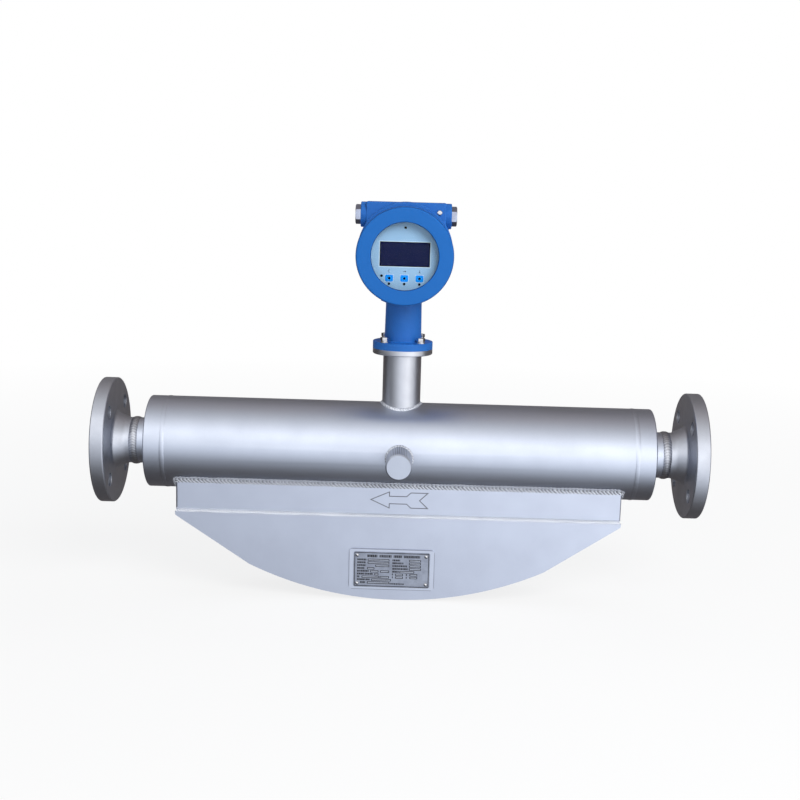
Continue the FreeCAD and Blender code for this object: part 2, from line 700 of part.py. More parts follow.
def fin_outline():
    """Outline of the crescent fin, in the XZ plane."""
    half = FIN_END_X
    left = [Vector(-half, 0, FIN_TOP_Z), Vector(-half, 0, SKIRT_BOTTOM_Z),
            Vector(-FIN_KINK_X, 0, FIN_KINK_Z)]
    right = [Vector(-p.x, 0, p.z) for p in reversed(left)]
    edges = corner_edges(left, {1: FIN_CORNER_RADIUS}, False)
    edges.append(Part.Arc(left[2], Vector(0, 0, FIN_BOTTOM_Z), right[0]).toShape())
    edges += corner_edges(right, {1: FIN_CORNER_RADIUS}, False)
    edges.append(Part.LineSegment(right[2], left[0]).toShape())
    return Part.Wire(edges)


def fin_plate(side):
    """Crescent plate on one side of the casing, lapped over the skirt."""
    return front_prism(fin_outline(), side * SKIRT_FACE_Y, side * FIN_FACE_Y)


def fin_rim_strip():
    """Bent strip that closes the fin between its two plates."""
    outline = fin_outline()
    outside = front_prism(outline, -SKIRT_FACE_Y, SKIRT_FACE_Y)
    inside = front_prism(outline.makeOffset2D(-RIM_THICKNESS), -SKIRT_FACE_Y, SKIRT_FACE_Y)
    above = block((-FIN_END_X, FIN_END_X), (-SKIRT_FACE_Y, SKIRT_FACE_Y), (SKIRT_BOTTOM_Z, 0))
    return outside.cut(inside).cut(above)


def fin_weld():
    """Fillet beads along the top edges of both fin plates."""
    half = SKIRT_LENGTH / 2 - SKIRT_CORNER_RADIUS
    beads = []
    for side in (-1, 1):
        corners = [Vector(-half, side * SKIRT_FACE_Y, FIN_TOP_Z),
                   Vector(-half, side * (SKIRT_FACE_Y + FIN_WELD_LEG), FIN_TOP_Z),
                   Vector(-half, side * SKIRT_FACE_Y, FIN_TOP_Z + FIN_WELD_LEG)]
        beads.append(Part.Face(closed_wire(corners)).extrude(X * (2 * half)))
    return Part.makeCompound(beads)


def rivet_places():
    """Centres of the four rivets in the XZ plane."""
    places = []
    for x_side in (-1, 1):
        for z_side in (-1, 1):
            x = PLATE_X + x_side * (PLATE_WIDTH / 2 - RIVET_INSET)
            z = PLATE_Z + z_side * (PLATE_HEIGHT / 2 - RIVET_INSET)
            places.append(Vector(x, 0, z))
    return places


def without_rivet_holes(shape):
    """Drill the rivet holes through a piece, as deep as the rivets reach."""
    for place in rivet_places():
        start = place - Y * (FIN_FACE_Y - RIVET_GRIP_IN_FIN)
        end = place - Y * PLATE_FACE_Y
        shape = shape.cut(rod(RIVET_SHANK_DIA / 2 + SCREW_FIT, start, end))
    return shape


def fin_front_plate():
    """Front crescent plate, drilled for the nameplate rivets."""
    return without_rivet_holes(fin_plate(-1))


def nameplate_pad():
    """Raised pad under the nameplate."""
    wire = rounded_rectangle(PAD_WIDTH, PAD_HEIGHT, PAD_CORNER_RADIUS, PLATE_X, PLATE_Z)
    return without_rivet_holes(front_prism(wire, -FIN_FACE_Y, -PAD_FACE_Y))


def nameplate():
    """Thin blank plate."""
    wire = rounded_rectangle(PLATE_WIDTH, PLATE_HEIGHT, PLATE_CORNER_RADIUS, PLATE_X, PLATE_Z)
    return without_rivet_holes(front_prism(wire, -PAD_FACE_Y, -PLATE_FACE_Y))


def nameplate_rivets():
    """Four dome rivets."""
    head = RIVET_HEAD_DIA / 2
    ball = (head ** 2 + RIVET_HEAD_HEIGHT ** 2) / (2 * RIVET_HEAD_HEIGHT)
    rivets = []
    for place in rivet_places():
        face = place - Y * PLATE_FACE_Y
        dome = Part.makeSphere(ball, face + Y * (ball - RIVET_HEAD_HEIGHT))
        dome = dome.common(rod(ball, face, face - Y * RIVET_HEAD_HEIGHT))
        shank = rod(RIVET_SHANK_DIA / 2, place - Y * (FIN_FACE_Y - RIVET_GRIP_IN_FIN), face)
        rivets.append(dome.fuse(shank))
    return Part.makeCompound(rivets)


def tube_corners():
    """Corners of the measuring tube's centre line in the XZ plane."""
    half = [Vector(TUBE_END_X, 0, 0), Vector(TUBE_SHOULDER_X, 0, 0), Vector(TUBE_CROWN_X, 0, -TUBE_DROP)]
    return half + [Vector(-p.x, 0, p.z) for p in reversed(half)]


def tube_solid(radius, y):
    """Bowed bar along the measuring tube's centre line."""
    rounds = {1: TUBE_SHOULDER_RADIUS, 2: TUBE_CROWN_RADIUS, 3: TUBE_CROWN_RADIUS, 4: TUBE_SHOULDER_RADIUS}
    path = Part.Wire(corner_edges(tube_corners(), rounds, False))
    ring = Part.Wire(Part.Circle(X * TUBE_END_X, X, radius).toShape())
    bar = path.makePipeShell([ring], True, False)
    bar.translate(Y * y)
    return bar


def measuring_tube(y):
    """One bowed measuring tube."""
    return tube_solid(TUBE_R, y).cut(tube_solid(TUBE_BORE_R, y))


def slope():
    """Unit vector down the straight slope of the inlet side."""
    corners = tube_corners()
    return (corners[2] - corners[1]).normalize()


def slope_point(distance):
    """Point on the inlet slope, at a distance from the shoulder corner."""
    return X * TUBE_SHOULDER_X + slope() * distance


def brace_plate(distance):
    """Plate that ties the two tubes together, square to the slope."""
    along = slope()
    up = Y.cross(along)
    centre = slope_point(distance) - along * (BRACE_THICKNESS / 2)
    w, h = TUBE_Y + TUBE_R + BRACE_SIDE_MARGIN, TUBE_R + BRACE_END_MARGIN
    corners = [centre - Y * w - up * h, centre + Y * w - up * h,
               centre + Y * w + up * h, centre - Y * w + up * h]
    plate = Part.Face(closed_wire(corners, {i: BRACE_CORNER_RADIUS for i in range(4)}))
    plate = plate.extrude(along * BRACE_THICKNESS)
    for side in (-1, 1):
        hole_centre = centre + Y * (side * TUBE_Y)
        plate = plate.cut(rod(TUBE_R + WELDED_FIT, hole_centre, hole_centre + along * BRACE_THICKNESS))
    return plate


def brace_plates():
    """Two brace plates near each end of the tubes."""
    inlet = [brace_plate(distance) for distance in BRACE_DISTANCES]
    return Part.makeCompound(inlet + [other_end(plate) for plate in inlet])


def sensor_places():
    """Place and tilt of the three sensors: inlet pick-off, drive, outlet pick-off."""
    down = slope()
    turn = math.degrees(math.atan2(-down.z, -down.x))
    reach = TUBE_CROWN_RADIUS * math.tan(math.radians(turn / 2))
    centre_x = TUBE_CROWN_X - reach
    tilt = turn / 2
    swing = math.radians(tilt)
    x = centre_x + TUBE_CROWN_RADIUS * math.sin(swing)
    z = -TUBE_DROP + TUBE_CROWN_RADIUS * (1 - math.cos(swing))
    return [(Vector(x, 0, z), -tilt), (Vector(0, 0, -TUBE_DROP), 0), (Vector(-x, 0, z), tilt)]


def at_sensor(shape, place, tilt):
    """Put a piece drawn about the tube axis at one sensor."""
    placed = shape.copy()
    placed.rotate(MIDDLE, Y, tilt)
    placed.translate(place)
    return placed


def sensor_coils():
    """Three identical bobbins, on the front tube's brackets."""
    start = Vector(0, -TUBE_Y + BRACKET_THICKNESS / 2, COIL_HEIGHT)
    end = start + Y * COIL_LENGTH
    bobbin = rod(COIL_DIA / 2, start, end)
    cheek = Y * COIL_CHEEK_THICKNESS
    bobbin = bobbin.fuse(rod(COIL_CHEEK_R, start, start + cheek))
    bobbin = bobbin.fuse(rod(COIL_CHEEK_R, end - cheek, end))
    bobbin = bobbin.cut(rod(COIL_BORE_DIA / 2, start, end)).removeSplitter()
    return Part.makeCompound([at_sensor(bobbin, place, tilt) for place, tilt in sensor_places()])


def sensor_magnets():
    """Three identical magnets, on the rear tube's brackets, that reach into the coils."""
    foot = Vector(0, TUBE_Y - BRACKET_THICKNESS / 2, COIL_HEIGHT)
    coil_mouth_y = -TUBE_Y + BRACKET_THICKNESS / 2 + COIL_LENGTH
    tip = Vector(0, coil_mouth_y - MAGNET_DEPTH_IN_COIL, COIL_HEIGHT)
    magnet = rod(MAGNET_R, foot, tip)
    magnet = magnet.fuse(rod(MAGNET_HEAD_DIA / 2, foot, foot - Y * MAGNET_HEAD_THICKNESS))
    return Part.makeCompound([at_sensor(magnet, place, tilt) for place, tilt in sensor_places()])


def sensor_brackets():
    """Six plates that stand on the tubes and carry the coils and magnets."""
    brackets = []
    half = BRACKET_THICKNESS / 2
    top = COIL_HEIGHT + BRACKET_TOP_MARGIN
    for side in (-1, 1):
        y = side * TUBE_Y
        bar = tube_solid(TUBE_R, y)
        plate = block((-BRACKET_WIDTH / 2, BRACKET_WIDTH / 2), (y - half, y + half), (0, top))
        for place, tilt in sensor_places():
            brackets.append(at_sensor(plate, place, tilt).cut(bar))
    return Part.makeCompound(brackets)


def temperature_sensor():
    """Small resistance element bonded on top of the front tube."""
    along = slope()
    up = Y.cross(along)
    place = slope_point(THERMO_DISTANCE) - Y * TUBE_Y
    half = THERMO_LENGTH / 2
    w = THERMO_WIDTH / 2
    corners = [place - along * half - Y * w, place + along * half - Y * w,
               place + along * half + Y * w, place - along * half + Y * w]
    body = Part.Face(closed_wire(corners)).extrude(up * (TUBE_R + THERMO_HEIGHT))
    return body.cut(tube_solid(TUBE_R, -TUBE_Y))


def sensor_loom():
    """Wiring from the three coils up to the feedthrough."""
    inlet_place, inlet_tilt = sensor_places()[0]
    coil_top = at_sensor(Part.Vertex(Vector(0, 0, COIL_HEIGHT + COIL_CHEEK_R)), inlet_place, inlet_tilt)
    start = coil_top.Point
    shift = Y * LOOM_SHIFT_Y
    radius = LOOM_DIA / 2
    drive_top = Z * (-TUBE_DROP + COIL_HEIGHT + COIL_CHEEK_R)
    loom = rod(radius, drive_top + shift, Z * NECK_FLANGE_Z + shift)
    for side in (-1, 1):
        points = [Vector(side * start.x, 0, start.z), Vector(side * LOOM_KNEE_X, 0, LOOM_KNEE_Z),
                  Vector(0, 0, LOOM_JOIN_Z)]
        points = [point + shift for point in points]
        for first, second in zip(points, points[1:]):
            loom = loom.fuse(rod(radius, first, second))
            loom = loom.fuse(Part.makeSphere(radius, second))
    return loom.removeSplitter()


def neck_tube():
    """Steel tube that stands on the housing."""
    tube = pipe(NECK_R, NECK_INNER_R, MIDDLE, Z * NECK_FLANGE_Z)
    return tube.cut(housing_solid())


def neck_weld():
    """Bead round the foot of the neck."""
    ring = pipe(NECK_R + NECK_WELD_WIDTH, NECK_R, MIDDLE, Z * NECK_FLANGE_Z)
    return ring.common(housing_solid(NECK_WELD_HEIGHT)).cut(housing_solid())


def neck_bolt_places():
    """Centres of the four neck bolts in the XY plane."""
    first = 180 / NECK_BOLT_COUNT
    return [Vector(x, y, 0) for x, y in circle_points(NECK_BOLT_CIRCLE_DIA, NECK_BOLT_COUNT, first)]


def neck_flange():
    """Steel disc on the neck, with tapped holes and a seal groove."""
    chamfer = NECK_FLANGE_CHAMFER
    outer = NECK_FLANGE_DIA / 2
    hole = FEEDTHROUGH_DIA / 2 + SEATED_FIT
    profile = [(NECK_FLANGE_Z, hole), (NECK_FLANGE_Z, outer - chamfer), (NECK_FLANGE_Z + chamfer, outer),
               (HEAD_SEAT_Z, outer), (HEAD_SEAT_Z, hole)]
    disc = turned(profile, MIDDLE, Z, X)
    for place in neck_bolt_places():
        thread = rod(NECK_BOLT_DIA / 2 + SCREW_FIT, place + Z * NECK_FLANGE_Z, place + Z * HEAD_SEAT_Z)
        disc = disc.cut(thread)
    half = SEAL_GROOVE_WIDTH / 2
    floor = HEAD_SEAT_Z - SEAL_SECTION_DIA
    return disc.cut(pipe(SEAL_R + half, SEAL_R - half, Z * floor, Z * HEAD_SEAT_Z))


def neck_oring():
    """Seal ring between neck flange and head."""
    return Part.makeTorus(SEAL_R, SEAL_SECTION_DIA / 2, Z * (HEAD_SEAT_Z - SEAL_SECTION_DIA / 2), Z)


def feedthrough():
    """Potted disc with connection pins in the neck flange."""
    top = NECK_FLANGE_Z + FEEDTHROUGH_THICKNESS
    disc = rod(FEEDTHROUGH_DIA / 2, Z * NECK_FLANGE_Z, Z * top)
    for x, y in circle_points(PIN_CIRCLE_DIA, PIN_COUNT, 0):
        place = Vector(x, y, top)
        disc = disc.fuse(rod(PIN_DIA / 2, place, place + Z * PIN_LENGTH))
    return disc


def neck_bolts():
    """Four hexagon bolts through the head's flange into the neck flange."""
    bolts = []
    seat = HEAD_FLANGE_TOP_Z + WASHER_THICKNESS + SPRING_WASHER_THICKNESS
    for place in neck_bolt_places():
        start = place + Z * seat
        head = hexagon_prism(NECK_BOLT_FLATS, start, start + Z * NECK_BOLT_HEAD_HEIGHT, X)
        bolts.append(head.fuse(rod(NECK_BOLT_DIA / 2, place + Z * NECK_FLANGE_Z, start)))
    return Part.makeCompound(bolts)


def neck_washers():
    """A plain washer and a split spring washer under each neck bolt."""
    washers = []
    bore = NECK_BOLT_DIA / 2 + SCREW_FIT
    plain_top = HEAD_FLANGE_TOP_Z + WASHER_THICKNESS
    spring_top = plain_top + SPRING_WASHER_THICKNESS
    for place in neck_bolt_places():
        washers.append(pipe(WASHER_DIA / 2, bore, place + Z * HEAD_FLANGE_TOP_Z, place + Z * plain_top))
        spring = pipe(SPRING_WASHER_DIA / 2, bore, place + Z * plain_top, place + Z * spring_top)
        split = block((place.x, place.x + SPRING_WASHER_DIA), (place.y, place.y + SPRING_WASHER_SPLIT),
                      (plain_top, spring_top))
        washers.append(spring.cut(split))
    return Part.makeCompound(washers)


def flange_and_neck():
    """Round flange and neck of the head casting."""
    outer = NECK_FLANGE_DIA / 2
    bore = HEAD_NECK_BORE_DIA / 2
    profile = [(HEAD_SEAT_Z, bore), (HEAD_SEAT_Z, outer), (HEAD_FLANGE_TOP_Z, outer),
               (HEAD_FLANGE_TOP_Z, HEAD_NECK_BASE_DIA / 2), (CAVITY_BOTTOM_Z, HEAD_NECK_TOP_DIA / 2),
               (CAVITY_BOTTOM_Z, HEAD_PASSAGE_DIA / 2), (HEAD_NECK_BORE_TOP_Z, HEAD_PASSAGE_DIA / 2),
               (HEAD_NECK_BORE_TOP_Z, bore)]
    foot = turned(profile, MIDDLE, Z, X, {2: NECK_FLANGE_CHAMFER, 3: HEAD_NECK_ROOT_RADIUS})
    for place in neck_bolt_places():
        hole = rod(NECK_BOLT_HOLE_DIA / 2, place + Z * HEAD_SEAT_Z, place + Z * HEAD_FLANGE_TOP_Z)
        foot = foot.cut(hole)
    return foot


def head_drum():
    """Drum and the two threaded collars, before hollowing."""
    profile = [(-DRUM_FACE_Y, 0), (DRUM_FACE_Y, 0), (DRUM_FACE_Y, DRUM_R), (-DRUM_FACE_Y, DRUM_R)]
    rounds = {2: DRUM_EDGE_RADIUS, 3: DRUM_EDGE_RADIUS}
    drum = turned(profile, Z * DRUM_Z, Y, X, rounds)
    return drum.fuse(rod(COLLAR_R, HEAD_AXIS - Y * COLLAR_END_Y, HEAD_AXIS + Y * COLLAR_END_Y))


def conduit_block():
    """Cable block across the top of the drum, with its two round bosses."""
    half_x, half_y = CONDUIT_HALF_WIDTH, CONDUIT_DEPTH / 2
    box = block((-half_x, half_x), (-half_y, half_y), (CONDUIT_TOP_Z - CONDUIT_HEIGHT, CONDUIT_TOP_Z))
    box = box.makeFillet(CONDUIT_EDGE_RADIUS, box.Edges)
    radius = BOSS_DIA / 2
    profile = [(-BOSS_REACH, 0), (BOSS_REACH, 0), (BOSS_REACH, radius), (-BOSS_REACH, radius)]
    bosses = turned(profile, Z * ENTRY_Z, X, Y, {2: BOSS_EDGE_RADIUS, 3: BOSS_EDGE_RADIUS})
    return box.fuse(bosses)


def lock_lug():
    """Lug beside the front cover for the lock screw."""
    half = LOCK_LUG_WIDTH / 2
    lug = block((0, COVER_DIA / 2 + LOCK_LUG_PROUD),
                (-DRUM_FACE_Y, LOCK_LUG_DEPTH - DRUM_FACE_Y), (-half, half))
    lug.rotate(MIDDLE, Y, -LOCK_LUG_ANGLE)
    lug.translate(HEAD_AXIS)
    return lug


def lock_screw_place():
    """Centre of the lock screw in the XZ plane."""
    turn = math.radians(LOCK_LUG_ANGLE)
    radius = COVER_DIA / 2 - LOCK_SCREW_INSET
    return HEAD_AXIS + Vector(radius * math.cos(turn), 0, radius * math.sin(turn))


def earth_screw_face():
    """Point on the conduit block's front where the earth screw's head sits."""
    turn = math.radians(EARTH_SCREW_ANGLE)
    radius = DRUM_R + EARTH_SCREW_DRUM_GAP
    return Vector(radius * math.cos(turn), -CONDUIT_DEPTH / 2, DRUM_Z + radius * math.sin(turn))


def head_casting():
    """The whole head casting."""
    body = head_drum().fuse(conduit_block()).fuse(lock_lug()).fuse(flange_and_neck())
    body = body.cut(rod(CAVITY_R, HEAD_AXIS - Y * COLLAR_END_Y, HEAD_AXIS + Y * PARTITION_FRONT_Y))
    body = body.cut(rod(CAVITY_R, HEAD_AXIS + Y * PARTITION_REAR_Y, HEAD_AXIS + Y * COLLAR_END_Y))
    body = body.cut(rod(HEAD_PASSAGE_DIA / 2, Z * HEAD_NECK_BORE_TOP_Z, Z * (COVER_Z - CAVITY_R / 2)))
    line = Z * ENTRY_Z
    shoulder = X * ENTRY_SHOULDER_X
    body = body.cut(rod(ENTRY_PASSAGE_DIA / 2, line - shoulder, line + shoulder))
    for side in (-1, 1):
        body = body.cut(rod(ENTRY_BORE_DIA / 2, line + shoulder * side, line + X * (side * BOSS_REACH)))
    for start, end in set_screw_lines():
        body = body.cut(rod(SET_SCREW_DIA / 2 + SCREW_FIT, start, end))
    earth = earth_screw_face()
    body = body.cut(rod(EARTH_SCREW_DIA / 2 + SCREW_FIT, earth, earth + Y * EARTH_SCREW_LENGTH))
    return body.removeSplitter()


def head_foot_and_body():
    """The head casting in two nodes that meet below the drum: the foot and the body."""
    casting = head_casting()
    limit = rod(NECK_FLANGE_DIA, Z * HEAD_SEAT_Z, Z * HEAD_SPLIT_Z)
    low = flange_and_neck().common(limit)
    return casting.common(low), casting.cut(low)


def set_screw_lines():
    """Start and end of the three set screws: the tip first, then the socket end."""
    lock = lock_screw_place()
    lines = [(lock - Y * DRUM_FACE_Y, lock - Y * (DRUM_FACE_Y - SET_SCREW_LENGTH))]
    for side in (-1, 1):
        x = side * (CONDUIT_HALF_WIDTH + SET_SCREW_DIA / 2)
        bottom = ENTRY_Z - BOSS_DIA / 2 - SET_SCREW_PROUD
        lines.append((Vector(x, 0, bottom + SET_SCREW_LENGTH - SET_SCREW_PROUD), Vector(x, 0, bottom)))
    return lines


def set_screws():
    """Three identical socket set screws."""
    screws = []
    for tip, end in set_screw_lines():
        screw = rod(SET_SCREW_DIA / 2, tip, end)
        inward = (tip - end).normalize()
        socket = rod(SET_SCREW_SOCKET_DIA / 2, end, end + inward * SET_SCREW_SOCKET_DEPTH)
        screws.append(screw.cut(socket))
    return Part.makeCompound(screws)


def cover_profile(opening):
    """Section of a cover as (distance from the head's middle, radius) pairs."""
    outer = COVER_DIA / 2
    seal = COLLAR_R + COVER_SEAL_HEIGHT
    seal_y = COVER_MOUTH_Y + COVER_SEAL_WIDTH
    inner = CAVITY_R
    return [(COVER_MOUTH_Y, seal), (COVER_MOUTH_Y, outer), (COVER_REACH, outer), (COVER_REACH, opening),
            (COVER_INNER_Y, opening), (COVER_INNER_Y, inner), (RETAINER_BACK_Y, inner),
            (RETAINER_BACK_Y, COVER_THREAD_R), (seal_y, COVER_THREAD_R), (seal_y, seal)]


def front_cover():
    """Screwed ring cover with the window opening."""
    cover = turned(cover_profile(WINDOW_R), HEAD_AXIS, Y * -1, X, {2: COVER_EDGE_RADIUS})
    face = HEAD_AXIS - Y * COVER_REACH
    edge = Part.makeCone(WINDOW_R + WINDOW_CHAMFER, WINDOW_R, WINDOW_CHAMFER, face, Y)
    return cover.cut(edge)


def rear_cover():
    """Screwed blind cover."""
    return turned(cover_profile(0), HEAD_AXIS, Y, X, {2: COVER_EDGE_RADIUS})


def cover_oring(side):
    """Seal ring in the mouth of a cover, against the collar."""
    section = COVER_SEAL_HEIGHT / 2 - SEATED_FIT
    mean = COLLAR_R + COVER_SEAL_HEIGHT / 2
    centre = HEAD_AXIS + Y * (side * (COVER_MOUTH_Y + COVER_SEAL_WIDTH / 2))
    return Part.makeTorus(mean, section, centre, Y)


def window_gasket():
    """Flat gasket between the cover and the glass."""
    start = HEAD_AXIS - Y * COVER_INNER_Y
    return pipe(GLASS_R, GLASS_R - GLASS_GASKET_WIDTH, start, HEAD_AXIS - Y * GLASS_FRONT_Y)


def window_glass():
    """Thick round window."""
    return rod(GLASS_R, HEAD_AXIS - Y * GLASS_FRONT_Y, HEAD_AXIS - Y * GLASS_BACK_Y)


def window_retainer():
    """Screwed ring that holds the glass, with two key slots."""
    start = HEAD_AXIS - Y * GLASS_BACK_Y
    end = HEAD_AXIS - Y * RETAINER_BACK_Y
    ring = pipe(GLASS_R, RETAINER_BORE_R, start, end)
    half = RETAINER_SLOT_WIDTH / 2
    middle = (GLASS_BACK_Y + RETAINER_BACK_Y) / 2
    slot = block((-GLASS_R, GLASS_R), (-middle, -RETAINER_BACK_Y), (COVER_Z - half, COVER_Z + half))
    return ring.cut(slot)


def key_places():
    """Centres of the touch keys in the XZ plane."""
    first = -KEY_SPACING * (KEY_COUNT - 1) / 2
    return [Vector(first + KEY_SPACING * i, 0, KEY_Z) for i in range(KEY_COUNT)]


def optical_sensor_places():
    """Centres of the optical sensors: in the keys, below them, on top and at the side."""
    places = key_places()
    places += [key - Z * LOWER_SENSOR_DROP for key in key_places()]
    places.append(Vector(0, 0, COVER_Z + PANEL_R - TOP_SENSOR_INSET))
    places.append(places[0] - X * SIDE_SENSOR_SPACING + Z * SIDE_SENSOR_RISE)
    return places


def without_sensor_holes(shape):
    """Drill the optical sensors' holes through the panel or the keys."""
    for place in optical_sensor_places():
        start = place - Y * PANEL_BACK_Y
        end = place - Y * (PANEL_FRONT_Y + KEY_PROUD)
        shape = shape.cut(rod(SENSOR_DIA / 2 + SCREW_FIT, start, end))
    return shape


def display_panel():
    """Round front panel with the screen window."""
    panel = rod(PANEL_R, HEAD_AXIS - Y * PANEL_FRONT_Y, HEAD_AXIS - Y * PANEL_BACK_Y)
    w, h = LCD_WIDTH / 2 + SEATED_FIT, LCD_HEIGHT / 2 + SEATED_FIT
    panel = panel.cut(block((-w, w), (-PANEL_FRONT_Y, -PANEL_BACK_Y), (LCD_Z - h, LCD_Z + h)))
    return without_sensor_holes(panel)


def lcd_module():
    """Screen and its frame behind the panel."""
    w, h = LCD_WIDTH / 2 + LCD_FRAME_MARGIN, LCD_HEIGHT / 2 + LCD_FRAME_MARGIN
    frame = block((-w, w), (-PANEL_BACK_Y, -DISPLAY_BOARD_FRONT_Y), (LCD_Z - h, LCD_Z + h))
    w, h = LCD_WIDTH / 2, LCD_HEIGHT / 2
    screen = block((-w, w), (-PANEL_FRONT_Y + LCD_RECESS, -PANEL_BACK_Y), (LCD_Z - h, LCD_Z + h))
    return frame.fuse(screen)


def touch_keys():
    """Three coloured key windows on the panel."""
    keys = []
    for place in key_places():
        wire = rounded_rectangle(KEY_WIDTH, KEY_HEIGHT, KEY_CORNER_RADIUS, place.x, place.z)
        keys.append(without_sensor_holes(front_prism(wire, -PANEL_FRONT_Y, -PANEL_FRONT_Y - KEY_PROUD)))
    return Part.makeCompound(keys)


def optical_sensors():
    """Eight round optical sensors that stand on the display board."""
    reach = PANEL_FRONT_Y + SENSOR_PROUD
    sensors = [rod(SENSOR_DIA / 2, place - Y * DISPLAY_BOARD_FRONT_Y, place - Y * reach)
               for place in optical_sensor_places()]
    return Part.makeCompound(sensors)


def display_board():
    """Round board behind the screen."""
    front = HEAD_AXIS - Y * DISPLAY_BOARD_FRONT_Y
    return rod(DISPLAY_BOARD_R, front, HEAD_AXIS - Y * DISPLAY_BOARD_BACK_Y)


def board_spacers():
    """Hexagon spacers below and above the main board."""
    spacers = []
    for x, z in circle_points(SPACER_CIRCLE_DIA, SPACER_COUNT, 90):
        place = HEAD_AXIS + Vector(x, 0, z)
        for start_y, end_y in ((PARTITION_FRONT_Y, -MAIN_BOARD_BACK_Y),
                               (-MAIN_BOARD_FRONT_Y, -DISPLAY_BOARD_BACK_Y)):
            spacers.append(hexagon_prism(SPACER_FLATS, place + Y * start_y, place + Y * end_y, Z))
    return Part.makeCompound(spacers)


def main_board():
    """Round main board with its larger components."""
    board = rod(MAIN_BOARD_R, HEAD_AXIS - Y * MAIN_BOARD_BACK_Y, HEAD_AXIS - Y * MAIN_BOARD_FRONT_Y)
    front = -MAIN_BOARD_FRONT_Y
    size = TRANSFORMER_SIZE
    transformer = block((-size, size / 2), (front - TRANSFORMER_HEIGHT, front),
                        (COVER_Z - size, COVER_Z))
    board = board.fuse(transformer)
    length, width = CONNECTOR_LENGTH / 2, CONNECTOR_WIDTH
    board = board.fuse(block((-length, length), (front - CONNECTOR_HEIGHT, front),
                             (COVER_Z + 2 * width, COVER_Z + 3 * width)))
    for i in range(3):
        foot = HEAD_AXIS + Vector(size + CAPACITOR_DIA, front, (i - 1) * 1.5 * CAPACITOR_DIA)
        board = board.fuse(rod(CAPACITOR_DIA / 2, foot, foot - Y * CAPACITOR_HEIGHT))
    return board.removeSplitter()


def terminal_places():
    """X of each terminal."""
    first = -TERMINAL_PITCH * (TERMINAL_COUNT - 1) / 2
    return [first + TERMINAL_PITCH * i for i in range(TERMINAL_COUNT)]


def terminal_screw_line(x):
    """Bottom and top of one terminal screw."""
    top = PARTITION_REAR_Y + TERMINAL_DEPTH - TERMINAL_SCREW_SINK
    z = COVER_Z + TERMINAL_HEIGHT / 4
    return Vector(x, top - TERMINAL_SCREW_HEIGHT, z), Vector(x, top, z)


def terminal_block():
    """Moulded terminal strip on the rear of the partition."""
    half = TERMINAL_PITCH * TERMINAL_COUNT / 2 + TERMINAL_MARGIN
    front = PARTITION_REAR_Y
    back = front + TERMINAL_DEPTH
    h = TERMINAL_HEIGHT / 2
    strip = block((-half, half), (front, back), (COVER_Z - h, COVER_Z + h))
    for x in terminal_places():
        bottom, top = terminal_screw_line(x)
        strip = strip.cut(rod(TERMINAL_SCREW_DIA / 2 + SCREW_FIT, bottom, Vector(x, back, top.z)))
        wire = Vector(x, front + TERMINAL_DEPTH / 2, COVER_Z - h)
        strip = strip.cut(rod(TERMINAL_WIRE_HOLE_DIA / 2, wire, wire + Z * h))
    return strip


def terminal_screws():
    """Slotted clamp screws of the terminal strip."""
    screws = []
    for x in terminal_places():
        bottom, top = terminal_screw_line(x)
        half = SLOT_CUT_WIDTH / 2
        screw = rod(TERMINAL_SCREW_DIA / 2, bottom, top)
        slot = block((x - TERMINAL_SCREW_DIA, x + TERMINAL_SCREW_DIA), (top.y - SLOT_CUT_DEPTH, top.y),
                     (top.z - half, top.z + half))
        screws.append(screw.cut(slot))
    return Part.makeCompound(screws)


def earth_screw():
    """Slotted pan-head screw on the front of the conduit block."""
    face = earth_screw_face()
    radius = EARTH_SCREW_HEAD_DIA / 2
    height = EARTH_SCREW_HEAD_HEIGHT
    profile = [(0, 0), (0, radius), (height, radius), (height, 0)]
    head = turned(profile, face, Y * -1, X, {2: height / 2})
    shank = rod(EARTH_SCREW_DIA / 2, face, face + Y * EARTH_SCREW_LENGTH)
    half = SLOT_CUT_WIDTH / 2
    top = face.y - height
    slot = block((face.x - radius, face.x + radius), (top, top + SLOT_CUT_DEPTH),
                 (face.z - half, face.z + half))
    return head.fuse(shank).cut(slot)


def gland_nut(side):
    """Hexagon gland nut with its threaded shank, bored for a cable."""
    out = X * side
    line = Z * ENTRY_Z
    seat = line + out * BOSS_REACH
    end = seat + out * GLAND_HEAD_LENGTH
    corner = GLAND_FLATS / math.sqrt(3)
    head = hexagon_prism(GLAND_FLATS, seat, end, Z)
    profile = [(0, 0), (0, corner), (GLAND_HEAD_LENGTH - GLAND_EDGE_CHAMFER, corner),
               (GLAND_HEAD_LENGTH, corner - 2 * GLAND_EDGE_CHAMFER), (GLAND_HEAD_LENGTH, 0)]
    limit = turned(profile, seat, out, Y)
    inner = line + out * GLAND_WASHER_END_X
    shank = rod(ENTRY_BORE_DIA / 2 - THREAD_FIT, inner, seat)
    return head.common(limit).fuse(shank).cut(rod(GLAND_BORE_DIA / 2, inner, end))


def gland_washer(side):
    """Washer between gland nut and grommet."""
    out = X * side
    line = Z * ENTRY_Z
    start = line + out * GROMMET_END_X
    end = line + out * GLAND_WASHER_END_X
    return pipe(ENTRY_BORE_DIA / 2 - THREAD_FIT, GLAND_WASHER_BORE_DIA / 2, start, end)


def gland_grommets():
    """Rubber grommets at the bottom of both entries."""
    grommets = []
    for side in (-1, 1):
        start = Vector(side * ENTRY_SHOULDER_X, 0, ENTRY_Z)
        end = Vector(side * GROMMET_END_X, 0, ENTRY_Z)
        grommets.append(pipe(ENTRY_BORE_DIA / 2 - SEATED_FIT, GROMMET_BORE_DIA / 2, start, end))
    return Part.makeCompound(grommets)


